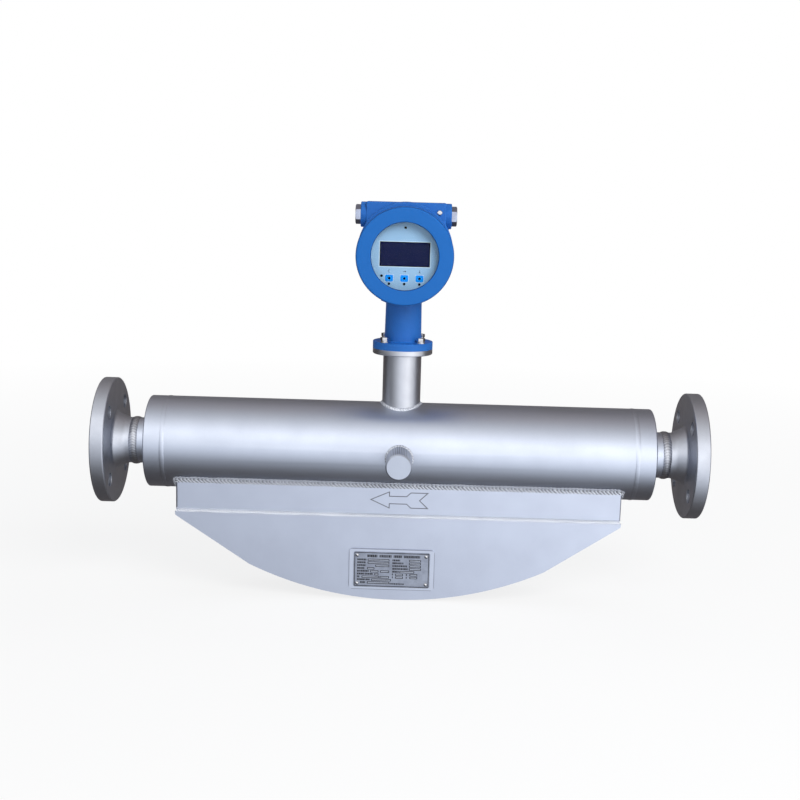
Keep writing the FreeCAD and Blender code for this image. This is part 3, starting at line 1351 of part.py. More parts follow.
def pieces():
    """Every piece of the meter by name."""
    flange, splitter, cap = inlet_flange(), inlet_splitter(), inlet_end_cap()
    weld = pipe_weld()
    foot, body = head_foot_and_body()
    return {
        "inlet_flange": flange,
        "outlet_flange": other_end(flange),
        "pipe_welds": Part.makeCompound([weld, other_end(weld)]),
        "inlet_splitter": splitter,
        "outlet_splitter": other_end(splitter),
        "inlet_end_cap": cap,
        "outlet_end_cap": other_end(cap),
        "end_cap_welds": end_cap_welds(),
        "housing_tube": housing_tube(),
        "purge_port": purge_port(),
        "purge_port_weld": purge_port_weld(),
        "casing_skirt": casing_skirt(),
        "skirt_weld": skirt_weld(),
        "fin_front_plate": fin_front_plate(),
        "fin_rear_plate": fin_plate(1),
        "fin_rim_strip": fin_rim_strip(),
        "fin_weld": fin_weld(),
        "nameplate_pad": nameplate_pad(),
        "nameplate": nameplate(),
        "nameplate_rivets": nameplate_rivets(),
        "measuring_tube_front": measuring_tube(-TUBE_Y),
        "measuring_tube_rear": measuring_tube(TUBE_Y),
        "brace_plates": brace_plates(),
        "sensor_coils": sensor_coils(),
        "sensor_magnets": sensor_magnets(),
        "sensor_brackets": sensor_brackets(),
        "temperature_sensor": temperature_sensor(),
        "sensor_loom": sensor_loom(),
        "neck_tube": neck_tube(),
        "neck_weld": neck_weld(),
        "neck_flange": neck_flange(),
        "neck_oring": neck_oring(),
        "feedthrough": feedthrough(),
        "neck_bolts": neck_bolts(),
        "neck_washers": neck_washers(),
        "head_foot": foot,
        "head_body": body,
        "set_screws": set_screws(),
        "earth_screw": earth_screw(),
        "front_cover": front_cover(),
        "front_cover_oring": cover_oring(-1),
        "window_gasket": window_gasket(),
        "window_glass": window_glass(),
        "window_retainer": window_retainer(),
        "rear_cover": rear_cover(),
        "rear_cover_oring": cover_oring(1),
        "display_panel": display_panel(),
        "lcd_module": lcd_module(),
        "touch_keys": touch_keys(),
        "optical_sensors": optical_sensors(),
        "display_board": display_board(),
        "board_spacers": board_spacers(),
        "main_board": main_board(),
        "terminal_block": terminal_block(),
        "terminal_screws": terminal_screws(),
        "gland_nut_left": gland_nut(-1),
        "gland_nut_right": gland_nut(1),
        "gland_washer_left": gland_washer(-1),
        "gland_washer_right": gland_washer(1),
        "gland_grommets": gland_grommets(),
    }


os.makedirs("parts", exist_ok=True)
for name, shape in pieces().items():
    save(name, shape)
    print(name, "solids", len(shape.Solids), "valid", shape.isValid(), "volume", round(shape.Volume))
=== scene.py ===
import json
import logging
import math
import random
from dataclasses import dataclass, field, replace
from enum import Enum
from typing import Callable, Sequence

import bpy
from mathutils import Matrix, Vector

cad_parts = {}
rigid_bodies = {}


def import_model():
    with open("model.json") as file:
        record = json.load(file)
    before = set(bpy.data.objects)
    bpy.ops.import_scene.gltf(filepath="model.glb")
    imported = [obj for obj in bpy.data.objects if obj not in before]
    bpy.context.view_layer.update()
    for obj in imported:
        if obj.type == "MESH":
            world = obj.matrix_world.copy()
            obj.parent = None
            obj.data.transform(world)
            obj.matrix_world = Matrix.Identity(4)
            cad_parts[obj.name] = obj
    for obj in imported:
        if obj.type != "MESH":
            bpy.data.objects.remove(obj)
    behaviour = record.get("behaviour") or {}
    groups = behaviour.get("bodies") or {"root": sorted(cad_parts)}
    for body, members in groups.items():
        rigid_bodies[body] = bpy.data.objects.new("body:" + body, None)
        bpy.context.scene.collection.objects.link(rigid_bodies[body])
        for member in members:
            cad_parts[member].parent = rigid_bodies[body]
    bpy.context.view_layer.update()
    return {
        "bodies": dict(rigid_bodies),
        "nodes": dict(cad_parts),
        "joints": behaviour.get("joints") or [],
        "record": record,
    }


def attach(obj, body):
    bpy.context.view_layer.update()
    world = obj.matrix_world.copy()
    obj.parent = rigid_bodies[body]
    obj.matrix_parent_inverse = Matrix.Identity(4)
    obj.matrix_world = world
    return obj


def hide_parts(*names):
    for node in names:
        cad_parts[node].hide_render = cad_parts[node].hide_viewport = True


MM = 0.001
log = logging.getLogger("flow_meter")

# Values of weld beads: the ripple attribute's floor, and how deep the roots reach, in millimetres
LEAST_RIPPLE = 0.002
FILLET_ROOT = 0.3
RING_ROOT = 0.1

X_AXIS = Vector((1.0, 0.0, 0.0))
Y_AXIS = Vector((0.0, 1.0, 0.0))
Z_AXIS = Vector((0.0, 0.0, 1.0))
MIDDLE = Vector((-0.395, 0.0, 0.0))

Colour = tuple[float, float, float]
Mesh = bpy.types.Object
Socket = bpy.types.NodeSocket
Frame = dict


class Slot(str, Enum):
    """Material slots of the record, given along with new pieces."""

    STAINLESS = "stainless"
    WELD = "weld_steel"
    PAINT = "blue_paint"
    BRIGHT = "bright_fastener"
    NICKEL = "nickel_gland"
    PLATE = "engraved_plate"
    PANEL = "panel_film"


class Body(str, Enum):
    """Moving bodies of the meter."""

    METER = "meter"
    FRONT_COVER = "front_cover"
    REAR_COVER = "rear_cover"
    LEFT_NUT = "left_gland_nut"
    RIGHT_NUT = "right_gland_nut"


# Node groups that several finishes share


def add_socket(group: bpy.types.NodeTree, name: str, kind: str, output: bool = False,
               value: float | Colour | None = None) -> None:
    """Add one named socket to a node group.

    Args:
        group: The node group.
        name: The socket's name.
        kind: Float, Color or Vector.
        output: True for an output.
        value: Default value of an input.
    """
    socket = group.interface.new_socket(name=name, in_out="OUTPUT" if output else "INPUT",
                                        socket_type="NodeSocket" + kind)
    if value is not None:
        socket.default_value = value if kind == "Float" else (*value, 1.0)


class Wiring:
    """Places nodes in a tree and links them."""

    def __init__(self, tree: bpy.types.NodeTree) -> None:
        """Start with the tree to wire."""
        self.tree = tree

    def node(self, kind: str, **settings: object) -> bpy.types.Node:
        """Add a node and set its properties.

        Args:
            kind: Node type without the ShaderNode prefix.
            settings: Properties of the node.

        Returns:
            The new node.
        """
        made = self.tree.nodes.new("ShaderNode" + kind)
        for name, value in settings.items():
            setattr(made, name, value)
        return made

    def link(self, start: Socket, end: Socket) -> None:
        """Join two sockets."""
        self.tree.links.new(start, end)

    def math(self, operation: str, first: object, second: object = 0.0, third: object = None,
             clamp: bool = False) -> Socket:
        """Add a math node whose inputs are sockets or numbers.

        Args:
            operation: Name of the operation.
            first: First input.
            second: Second input.
            third: Third input, where the operation has one.
            clamp: Limit the result to 0..1.

        Returns:
            The result's socket.
        """
        made = self.node("Math", operation=operation, use_clamp=clamp)
        for index, value in enumerate((first, second, third)):
            if isinstance(value, Socket):
                self.link(value, made.inputs[index])
            elif value is not None:
                made.inputs[index].default_value = value
        return made.outputs[0]

    def mix(self, factor: Socket, first: object, second: object) -> Socket:
        """Mix two colours, given as sockets or values.

        Args:
            factor: Share of the second colour.
            first: First colour.
            second: Second colour.

        Returns:
            The mixed colour's socket.
        """
        made = self.node("Mix", data_type="RGBA")
        self.link(factor, made.inputs["Factor"])
        for index, value in ((6, first), (7, second)):
            if isinstance(value, Socket):
                self.link(value, made.inputs[index])
            else:
                made.inputs[index].default_value = (*value, 1.0)
        return made.outputs[2]

    def ramp(self, place: Socket, stops: Sequence[tuple[float, Colour]]) -> Socket:
        """Turn a place between 0 and 1 into a colour.

        Args:
            place: The place's socket.
            stops: Places and their colours, in order.

        Returns:
            The colour's socket.
        """
        made = self.node("ValToRGB")
        elements = made.color_ramp.elements
        while len(elements) < len(stops):
            elements.new(1.0)
        for element, (position, colour) in zip(elements, stops):
            element.position = position
            element.color = (*colour, 1.0)
        self.link(place, made.inputs[0])
        return made.outputs[0]


class SharedGroups:
    """The node groups that materials share, each made once."""

    GRAIN_STRETCH = (2.4, -0.7)
    PATCH_STRETCH = (3.0, -1.0)
    STAIN_EDGE = 0.78
    STAIN_COVER_SHARE = 0.5
    STAIN_GAIN = 7.0

    def __init__(self) -> None:
        """Start with no group made."""
        self.made: dict[str, bpy.types.NodeTree] = {}

    def get(self, name: str) -> bpy.types.NodeTree:
        """Give a group by name, and build it the first time.

        Args:
            name: grain, turned or stains.

        Returns:
            The node group.
        """
        if name not in self.made:
            self.made[name] = getattr(self, "build_" + name)()
        return self.made[name]

    def new_group(self, name: str) -> tuple[bpy.types.NodeTree, Wiring, bpy.types.Node, bpy.types.Node]:
        """Make an empty group.

        Args:
            name: The group's name.

        Returns:
            The group, its wiring, its input node and its output node.
        """
        group = bpy.data.node_groups.new(name, "ShaderNodeTree")
        wiring = Wiring(group)
        start = group.nodes.new("NodeGroupInput")
        end = group.nodes.new("NodeGroupOutput")
        return group, wiring, start, end

    def build_grain(self) -> bpy.types.NodeTree:
        """Fine grain over broad patches: a colour, a roughness and a height.

        Returns:
            The node group.
        """
        group, wiring, start, end = self.new_group("surface_grain")
        add_socket(group, "Vector", "Vector")
        add_socket(group, "Colour", "Color", value=(0.5, 0.5, 0.5))
        add_socket(group, "Shade", "Color", value=(0.3, 0.3, 0.3))
        add_socket(group, "Grain Scale", "Float", value=1500.0)
        add_socket(group, "Patch Scale", "Float", value=30.0)
        add_socket(group, "Grain Contrast", "Float", value=0.3)
        add_socket(group, "Patch Contrast", "Float", value=0.3)
        add_socket(group, "Roughness", "Float", value=0.4)
        add_socket(group, "Spread", "Float", value=0.1)
        for name, kind in (("Colour", "Color"), ("Roughness", "Float"), ("Height", "Float")):
            add_socket(group, name, kind, output=True)
        fine = wiring.node("TexNoise")
        fine.inputs["Detail"].default_value = 2.0
        patch = wiring.node("TexNoise")
        patch.inputs["Detail"].default_value = 4.0
        for noise, scale in ((fine, "Grain Scale"), (patch, "Patch Scale")):
            wiring.link(start.outputs["Vector"], noise.inputs["Vector"])
            wiring.link(start.outputs[scale], noise.inputs["Scale"])
        grain = wiring.math("MULTIPLY_ADD", fine.outputs["Fac"], *self.GRAIN_STRETCH, clamp=True)
        cloud = wiring.math("MULTIPLY_ADD", patch.outputs["Fac"], *self.PATCH_STRETCH, clamp=True)
        share = wiring.math("ADD", wiring.math("MULTIPLY", grain, start.outputs["Grain Contrast"]),
                            wiring.math("MULTIPLY", cloud, start.outputs["Patch Contrast"]), clamp=True)
        colour = wiring.mix(share, start.outputs["Colour"], start.outputs["Shade"])
        wiring.link(colour, end.inputs["Colour"])
        swing = wiring.math("SUBTRACT", wiring.math("ADD", cloud, grain), 1.0)
        rough = wiring.math("MULTIPLY_ADD", swing, start.outputs["Spread"], start.outputs["Roughness"],
                            clamp=True)
        wiring.link(rough, end.inputs["Roughness"])
        wiring.link(fine.outputs["Fac"], end.inputs["Height"])
        return group

    def build_turned(self) -> bpy.types.NodeTree:
        """Lathe marks round the local Z axis: a height that changes with radius and place along the axis.

        Returns:
            The node group.
        """
        group, wiring, start, end = self.new_group("turned_marks")
        add_socket(group, "Vector", "Vector")
        add_socket(group, "Frequency", "Float", value=1500.0)
        add_socket(group, "Height", "Float", output=True)
        split = wiring.node("SeparateXYZ")
        wiring.link(start.outputs["Vector"], split.inputs[0])
        squares = wiring.math("ADD", wiring.math("MULTIPLY", split.outputs["X"], split.outputs["X"]),
                              wiring.math("MULTIPLY", split.outputs["Y"], split.outputs["Y"]))
        radius = wiring.math("SQRT", squares)
        joined = wiring.node("CombineXYZ")
        wiring.link(wiring.math("MULTIPLY", radius, start.outputs["Frequency"]), joined.inputs[0])
        wiring.link(wiring.math("MULTIPLY", split.outputs["Z"], start.outputs["Frequency"]),
                    joined.inputs[1])
        noise = wiring.node("TexNoise")
        noise.inputs["Scale"].default_value = 1.0
        wiring.link(joined.outputs[0], noise.inputs["Vector"])
        wiring.link(noise.outputs["Fac"], end.inputs["Height"])
        return group

    def build_stains(self) -> bpy.types.NodeTree:
        """Sparse specks and smears, as dust, scuffs or heat tint: one mask.

        Returns:
            The node group.
        """
        group, wiring, start, end = self.new_group("sparse_stains")
        add_socket(group, "Vector", "Vector")
        add_socket(group, "Scale", "Float", value=60.0)
        add_socket(group, "Cover", "Float", value=0.3)
        add_socket(group, "Mask", "Float", output=True)
        noise = wiring.node("TexNoise")
        noise.inputs["Detail"].default_value = 8.0
        noise.inputs["Roughness"].default_value = 0.7
        noise.inputs["Distortion"].default_value = 0.6
        wiring.link(start.outputs["Vector"], noise.inputs["Vector"])
        wiring.link(start.outputs["Scale"], noise.inputs["Scale"])
        covered = wiring.math("MULTIPLY", start.outputs["Cover"], self.STAIN_COVER_SHARE)
        edge = wiring.math("SUBTRACT", self.STAIN_EDGE, covered)
        mask = wiring.math("MULTIPLY", wiring.math("SUBTRACT", noise.outputs["Fac"], edge), self.STAIN_GAIN,
                           clamp=True)
        wiring.link(mask, end.inputs["Mask"])
        return group


GROUPS = SharedGroups()


# Finishes


@dataclass(frozen=True)
class Finish:
    """A surface finish with grain, patches and a fine bump."""

    name: str
    colour: Colour
    shade: Colour
    metallic: float = 0.0
    roughness: float = 0.45
    spread: float = 0.08
    grain_scale: float = 1500.0
    patch_scale: float = 30.0
    grain_contrast: float = 0.3
    patch_contrast: float = 0.3
    bump: float = 0.1
    bump_depth: float = 0.0001
    coat: float = 0.0
    specular: float = 0.5
    stain: Colour | None = None
    stain_scale: float = 60.0
    stain_cover: float = 0.2

    def material(self) -> bpy.types.Material:
        """Build the material.

        Returns:
            The material with its nodes.
        """
        made = bpy.data.materials.new(self.name)
        made.use_nodes = True
        wiring = Wiring(made.node_tree)
        shader = made.node_tree.nodes["Principled BSDF"]
        shader.inputs["Metallic"].default_value = self.metallic
        shader.inputs["Coat Weight"].default_value = self.coat
        shader.inputs["Specular IOR Level"].default_value = self.specular
        place = wiring.node("TexCoord").outputs["Object"]
        grain = wiring.node("Group", node_tree=GROUPS.get("grain"))
        wiring.link(place, grain.inputs["Vector"])
        grain.inputs["Colour"].default_value = (*self.colour, 1.0)
        grain.inputs["Shade"].default_value = (*self.shade, 1.0)
        for socket, value in (("Grain Scale", self.grain_scale), ("Grain Contrast", self.grain_contrast),
                              ("Patch Scale", self.patch_scale), ("Patch Contrast", self.patch_contrast),
                              ("Roughness", self.roughness), ("Spread", self.spread)):
            grain.inputs[socket].default_value = value
        colour = self.tint(wiring, place, grain.outputs["Colour"])
        if self.stain is not None:
            stains = wiring.node("Group", node_tree=GROUPS.get("stains"))
            wiring.link(place, stains.inputs["Vector"])
            stains.inputs["Scale"].default_value = self.stain_scale
            stains.inputs["Cover"].default_value = self.stain_cover
            colour = wiring.mix(stains.outputs["Mask"], colour, self.stain)
        wiring.link(colour, shader.inputs["Base Color"])
        wiring.link(grain.outputs["Roughness"], shader.inputs["Roughness"])
        bump = wiring.node("Bump")
        bump.inputs["Strength"].default_value = self.bump
        bump.inputs["Distance"].default_value = self.bump_depth
        wiring.link(self.relief(wiring, place, grain.outputs["Height"]), bump.inputs["Height"])
        wiring.link(bump.outputs["Normal"], shader.inputs["Normal"])
        self.finish_shader(wiring, shader)
        return made

    def tint(self, wiring: Wiring, place: Socket, colour: Socket) -> Socket:
        """Change the colour over the surface; plain finishes keep it."""
        return colour

    def relief(self, wiring: Wiring, place: Socket, height: Socket) -> Socket:
        """Change the height over the surface; plain finishes keep the grain."""
        return height

    def finish_shader(self, wiring: Wiring, shader: bpy.types.Node) -> None:
        """Last changes to the shader; plain finishes need none."""


@dataclass(frozen=True)
class TurnedFinish(Finish):
    """Metal with lathe marks round an axis."""

    centre: Colour = (0.0, 0.0, 0.0)
    turn: Colour = (0.0, 0.0, 0.0)
    frequency: float = 1800.0
    marks: float = 0.6

    def relief(self, wiring: Wiring, place: Socket, height: Socket) -> Socket:
        """Add the lathe marks to the grain.

        Args:
            wiring: The material's wiring.
            place: Object coordinates.
            height: Height of the grain.

        Returns:
            Height of grain and marks.
        """
        mapping = wiring.node("Mapping")
        mapping.vector_type = "TEXTURE"
        mapping.inputs["Location"].default_value = self.centre
        mapping.inputs["Rotation"].default_value = self.turn
        wiring.link(place, mapping.inputs["Vector"])
        turned = wiring.node("Group", node_tree=GROUPS.get("turned"))
        wiring.link(mapping.outputs["Vector"], turned.inputs["Vector"])
        turned.inputs["Frequency"].default_value = self.frequency
        return wiring.math("MULTIPLY_ADD", turned.outputs["Height"], self.marks, height)


@dataclass(frozen=True)
class BoxFinish(Finish):
    """Finish with another tone inside, or outside, a box of Object coordinates: painted shade in a groove
    or round a pad's edges, or a screen's dark border.
    """

    centre: Colour = (0.0, 0.0, 0.0)
    reach: Colour = (1.0, 1.0, 1.0)
    tone: Colour = (0.002, 0.002, 0.008)
    outside: bool = False
    sharpness: float = 9000.0

    def tint(self, wiring: Wiring, place: Socket, colour: Socket) -> Socket:
        """Set the other tone.

        Args:
            wiring: The material's wiring.
            place: Object coordinates.
            colour: Colour of the surface.

        Returns:
            Colour with the other tone.
        """
        split = wiring.node("SeparateXYZ")
        wiring.link(place, split.inputs[0])
        beyond = None
        for axis in range(3):
            offset = wiring.math("SUBTRACT", split.outputs[axis], self.centre[axis])
            past = wiring.math("SUBTRACT", wiring.math("ABSOLUTE", offset), self.reach[axis])
            mask = wiring.math("MULTIPLY", past, self.sharpness, clamp=True)
            beyond = mask if beyond is None else wiring.math("MAXIMUM", beyond, mask)
        share = beyond if self.outside else wiring.math("SUBTRACT", 1.0, beyond)
        return wiring.mix(share, colour, self.tone)


@dataclass(frozen=True)
class EdgeShadeFinish(Finish):
    """Paint with painted shade on the inner and the outer edge of a round cover with its axis along Y."""

    centre: Colour = (0.0, 0.0, 0.0)
    inner: float = 0.04
    outer: float = 0.06
    rim_y: float = 0.066
    inner_sharpness: float = 1400.0
    outer_sharpness: float = 900.0
    painted_edge_shade: Colour = (0.002, 0.05, 0.24)

    def tint(self, wiring: Wiring, place: Socket, colour: Socket) -> Socket:
        """Paint shade inside the inner radius, and outside the outer one beside the face, as a darker
        colour.

        Args:
            wiring: The material's wiring.
            place: Object coordinates.
            colour: Colour of the surface.

        Returns:
            Colour with the painted edge shade.
        """
        split = wiring.node("SeparateXYZ")
        wiring.link(place, split.inputs[0])
        across = wiring.math("SUBTRACT", split.outputs["X"], self.centre[0])
        height = wiring.math("SUBTRACT", split.outputs["Z"], self.centre[2])
        radius = wiring.math("SQRT", wiring.math("ADD", wiring.math("MULTIPLY", across, across),
                                                 wiring.math("MULTIPLY", height, height)))
        face = wiring.math("ABSOLUTE", split.outputs["Y"])
        # painted shade: darker colour inside the window edge and on the outer rim beside the face
        inside, outside, front = (
            wiring.math("MULTIPLY", wiring.math("SUBTRACT", large, small), sharpness, clamp=True)
            for large, small, sharpness in ((self.inner, radius, self.inner_sharpness),
                                            (radius, self.outer, self.outer_sharpness),
                                            (face, self.rim_y, self.outer_sharpness)))
        rim_shade = wiring.math("MULTIPLY", outside, front)
        return wiring.mix(wiring.math("MAXIMUM", inside, rim_shade), colour, self.painted_edge_shade)


@dataclass(frozen=True)
class RibbedFinish(Finish):
    """Metal with fine straight ribs along a stub that points to -Y, with painted shade between the ribs."""

    centre: Colour = (0.0, 0.0, 0.0)
    ribs: int = 44
    end_y: float = -0.105
    depth: float = 3.0
    painted_hollow_shade: Colour = (0.12, 0.12, 0.14)

    def ridges(self, wiring: Wiring, place: Socket) -> tuple[Socket, Socket]:
        """Wave round the stub and the share of the surface that has ribs.

        Args:
            wiring: The material's wiring.
            place: Object coordinates.

        Returns:
            The wave, high on a rib, and the mask of the stub's side.
        """
        split = wiring.node("SeparateXYZ")
        wiring.link(place, split.inputs[0])
        turn = wiring.math("ARCTAN2", wiring.math("SUBTRACT", split.outputs["Z"], self.centre[2]),
                           wiring.math("SUBTRACT", split.outputs["X"], self.centre[0]))
        wave = wiring.math("ABSOLUTE", wiring.math("SINE", wiring.math("MULTIPLY", turn, self.ribs / 2)))
        return wave, wiring.math("GREATER_THAN", split.outputs["Y"], self.end_y)

    def tint(self, wiring: Wiring, place: Socket, colour: Socket) -> Socket:
        """Paint shade in the hollows between the ribs.

        Args:
            wiring: The material's wiring.
            place: Object coordinates.
            colour: Colour of the surface.

        Returns:
            Colour with the painted shade in the hollows.
        """
        wave, side = self.ridges(wiring, place)
        # painted shade between the ribs, which are only a bump
        share = wiring.math("MULTIPLY", wiring.math("SUBTRACT", 1.0, wave), side)
        return wiring.mix(share, colour, self.painted_hollow_shade)

    def relief(self, wiring: Wiring, place: Socket, height: Socket) -> Socket:
        """Add the ribs to the grain, but not on the end face.

        Args:
            wiring: The material's wiring.
            place: Object coordinates.
            height: Height of the grain.

        Returns:
            Height of grain and ribs.
        """
        wave, side = self.ridges(wiring, place)
        return wiring.math("MULTIPLY_ADD", wiring.math("MULTIPLY", wave, side), self.depth, height)


@dataclass(frozen=True)
class WeldFinish(Finish):
    """Weld metal with painted shade in the hollows of its ripples and a painted highlight on their crests.

    The mesh's ripple attribute runs from just over 0 at the low start of a ripple to 1 at its top; plain
    metal has 0.
    """

    painted_hollow_shade: Colour = (0.16, 0.165, 0.19)
    painted_crest_highlight: Colour = (0.90, 0.93, 0.98)
    shade_below: float = 0.5
    highlight_above: float = 0.62
    contrast: float = 3.2

    def tint(self, wiring: Wiring, place: Socket, colour: Socket) -> Socket:
        """Paint shade in the hollows and a highlight on the crests.

        Args:
            wiring: The material's wiring.
            place: Object coordinates, not used.
            colour: Colour of the surface.

        Returns:
            Colour with the painted shade and highlight of the ripples.
        """
        ripple = wiring.node("Attribute", attribute_name="ripple").outputs["Fac"]
        # painted shade: mask of the ripple hollows
        low = wiring.math("MULTIPLY", wiring.math("SUBTRACT", self.shade_below, ripple), self.contrast,
                          clamp=True)
        low = wiring.math("MULTIPLY", low, wiring.math("GREATER_THAN", ripple, LEAST_RIPPLE / 2))
        # painted highlight: mask of the ripple crests
        high = wiring.math("MULTIPLY", wiring.math("SUBTRACT", ripple, self.highlight_above), self.contrast,
                           clamp=True)
        return wiring.mix(low, wiring.mix(high, colour, self.painted_crest_highlight), self.painted_hollow_shade)


@dataclass(frozen=True)
class WindingFinish(Finish):
    """Copper wire wound round the Y axis of a coil."""

    pitch: float = 0.0004

    def relief(self, wiring: Wiring, place: Socket, height: Socket) -> Socket:
        """Round turns of wire along Y.

        Args:
            wiring: The material's wiring.
            place: Object coordinates.
            height: Height of the grain, not used.

        Returns:
            Height of the turns.
        """
        split = wiring.node("SeparateXYZ")
        wiring.link(place, split.inputs[0])
        phase = wiring.math("MULTIPLY", split.outputs["Y"], math.pi / self.pitch)
        return wiring.math("ABSOLUTE", wiring.math("SINE", phase))


@dataclass(frozen=True)
class GlassFinish:
    """Clear coated glass with weak reflections that lets the light through to what is behind it."""

    name: str
    colour: Colour = (0.97, 0.99, 1.0)
    ior: float = 1.12
    roughness: float = 0.01
    smear_scale: float = 90.0
    smear_roughness: float = 0.03

    def material(self) -> bpy.types.Material:
        """Build the glass.

        Returns:
            The material with its nodes.
        """
        made = bpy.data.materials.new(self.name)
        made.use_nodes = True
        wiring = Wiring(made.node_tree)
        shader = made.node_tree.nodes["Principled BSDF"]
        shader.inputs["Base Color"].default_value = (*self.colour, 1.0)
        shader.inputs["Transmission Weight"].default_value = 1.0
        shader.inputs["IOR"].default_value = self.ior
        smears = wiring.node("TexNoise")
        smears.inputs["Scale"].default_value = self.smear_scale
        smears.inputs["Detail"].default_value = 5.0
        wiring.link(wiring.node("TexCoord").outputs["Object"], smears.inputs["Vector"])
        rough = wiring.math("MULTIPLY_ADD", smears.outputs["Fac"], self.smear_roughness, self.roughness)
        wiring.link(rough, shader.inputs["Roughness"])
        clear = wiring.node("BsdfTransparent")
        rays = wiring.node("LightPath")
        soft = wiring.math("MAXIMUM", rays.outputs["Is Shadow Ray"], rays.outputs["Is Diffuse Ray"])
        blend = wiring.node("MixShader")
        wiring.link(soft, blend.inputs[0])
        wiring.link(shader.outputs[0], blend.inputs[1])
        wiring.link(clear.outputs[0], blend.inputs[2])
        wiring.link(blend.outputs[0], made.node_tree.nodes["Material Output"].inputs["Surface"])
        return made


# Middles and half sizes, in metres, of the places where a finish changes its tone: painted shade in the
# arrow groove and round the pad's edges, and the screen's dark border
ARROW_GROOVE = ((-0.3935, -0.0423, -0.061), (0.040, 0.00055, 0.0125))
PAD_FACE = ((-0.4012, 0.0, -0.1534), (0.0552, 1.0, 0.0267))
SCREEN_FACE = ((-0.395, 0.0, 0.2581), (0.0303, 1.0, 0.0142))
PORT_CENTRE = (-0.395, 0.0, -0.003)
COVER_CENTRE = (-0.395, 0.0, 0.256)

# What the casing's sheet metal has in common
SHEET_COLOUR = (0.60, 0.645, 0.755)
SHEET_SHADE = (0.52, 0.56, 0.67)
SHEET_SURFACE = {"metallic": 1.0, "roughness": 0.42, "spread": 0.05, "grain_scale": 1300.0,
                 "patch_scale": 26.0, "grain_contrast": 0.35, "bump": 0.3, "bump_depth": 0.00007}

BLASTED_STEEL = Finish(
    "blasted_steel", colour=(0.60, 0.645, 0.745), shade=(0.50, 0.54, 0.64), metallic=1.0, roughness=0.38,
    spread=0.05, grain_scale=1400.0, patch_scale=22.0, grain_contrast=0.35, bump=0.25,
    bump_depth=0.00006, stain=(0.40, 0.41, 0.46), stain_scale=35.0, stain_cover=0.12)
PLATE_STEEL = Finish(
    "casing_steel", colour=SHEET_COLOUR, shade=SHEET_SHADE, stain=(0.44, 0.46, 0.52), stain_scale=30.0,
    stain_cover=0.14, **SHEET_SURFACE)
FLANGE_STEEL = TurnedFinish(
    "flange_steel", colour=(0.58, 0.61, 0.68), shade=(0.47, 0.49, 0.55), metallic=1.0,
    roughness=0.42, patch_scale=40.0, grain_contrast=0.4, patch_contrast=0.4, bump=0.35,
    bump_depth=0.00008, stain=(0.30, 0.29, 0.31), stain_scale=45.0, turn=(0.0, math.pi / 2, 0.0),
    frequency=2400.0)
# weld beads: painted shade in the ripple hollows and a painted highlight on the crests
WELD_STEEL = WeldFinish(
    "weld_bead_steel", colour=(0.80, 0.84, 0.94), shade=(0.62, 0.65, 0.74), metallic=0.42,
    roughness=0.38, spread=0.06, grain_scale=1800.0, patch_scale=160.0, patch_contrast=0.4,
    bump=0.3, stain=(0.46, 0.46, 0.50), stain_scale=120.0, stain_cover=0.1,
    painted_hollow_shade=(0.07, 0.075, 0.10), painted_crest_highlight=(0.95, 0.98, 1.0))
# butt welds: the same painted shade and highlight, weaker
BUTT_STEEL = WeldFinish(
    "butt_weld_steel", colour=(0.55, 0.57, 0.62), shade=(0.42, 0.43, 0.47), metallic=1.0,
    roughness=0.38, spread=0.06, grain_scale=1800.0, patch_scale=160.0, patch_contrast=0.45,
    bump=0.3, painted_hollow_shade=(0.36, 0.37, 0.41), painted_crest_highlight=(0.58, 0.60, 0.65))
# casing steel with painted shade on the floor of the engraved arrow groove
SKIRT_STEEL_GROOVE_SHADE = BoxFinish(
    "engraved_casing_steel_groove_shade", colour=SHEET_COLOUR, shade=SHEET_SHADE, centre=ARROW_GROOVE[0],
    reach=ARROW_GROOVE[1], tone=(0.17, 0.175, 0.2), **SHEET_SURFACE)
# pad steel with painted shade round the pad's edges, outside its face
PAD_STEEL_EDGE_SHADE = BoxFinish(
    "pad_steel_edge_shade", colour=(0.64, 0.685, 0.795), shade=(0.56, 0.60, 0.71), centre=PAD_FACE[0],
    reach=PAD_FACE[1], tone=(0.33, 0.35, 0.42), outside=True, **SHEET_SURFACE)
# purge port steel with painted shade between its ribs
PORT_STEEL = RibbedFinish(
    "purge_port_steel", colour=(0.53, 0.57, 0.66), shade=(0.46, 0.50, 0.59), metallic=1.0,
    roughness=0.4, spread=0.05, grain_scale=1400.0, patch_scale=60.0, bump=0.5, bump_depth=0.00012,
    centre=PORT_CENTRE)
NECK_STEEL = TurnedFinish(
    "neck_steel", colour=(0.60, 0.62, 0.67), shade=(0.48, 0.49, 0.54), metallic=1.0, roughness=0.36,
    spread=0.06, grain_scale=1600.0, patch_scale=45.0, patch_contrast=0.35, bump=0.3,
    bump_depth=0.00007, centre=tuple(MIDDLE), frequency=2600.0)
CASTING_PAINT = Finish(
    "casting_paint", colour=(0.018, 0.150, 0.520), shade=(0.012, 0.115, 0.420), roughness=0.42,
    grain_scale=900.0, patch_scale=35.0, grain_contrast=0.35, bump=0.5, bump_depth=0.00016,
    specular=0.3, stain=(0.10, 0.24, 0.56), stain_scale=140.0, stain_cover=0.1)
# cover paint with painted shade at the window edge and on the outer rim beside the face
COVER_PAINT_EDGE_SHADE = EdgeShadeFinish(
    "cover_paint", colour=(0.006, 0.128, 0.455), shade=(0.005, 0.112, 0.410), roughness=0.34,
    spread=0.06, grain_scale=700.0, grain_contrast=0.25, bump=0.35, bump_depth=0.00012,
    specular=0.25, stain=(0.12, 0.28, 0.62), stain_scale=150.0, stain_cover=0.08,
    centre=COVER_CENTRE, inner=0.0431, outer=0.0601)
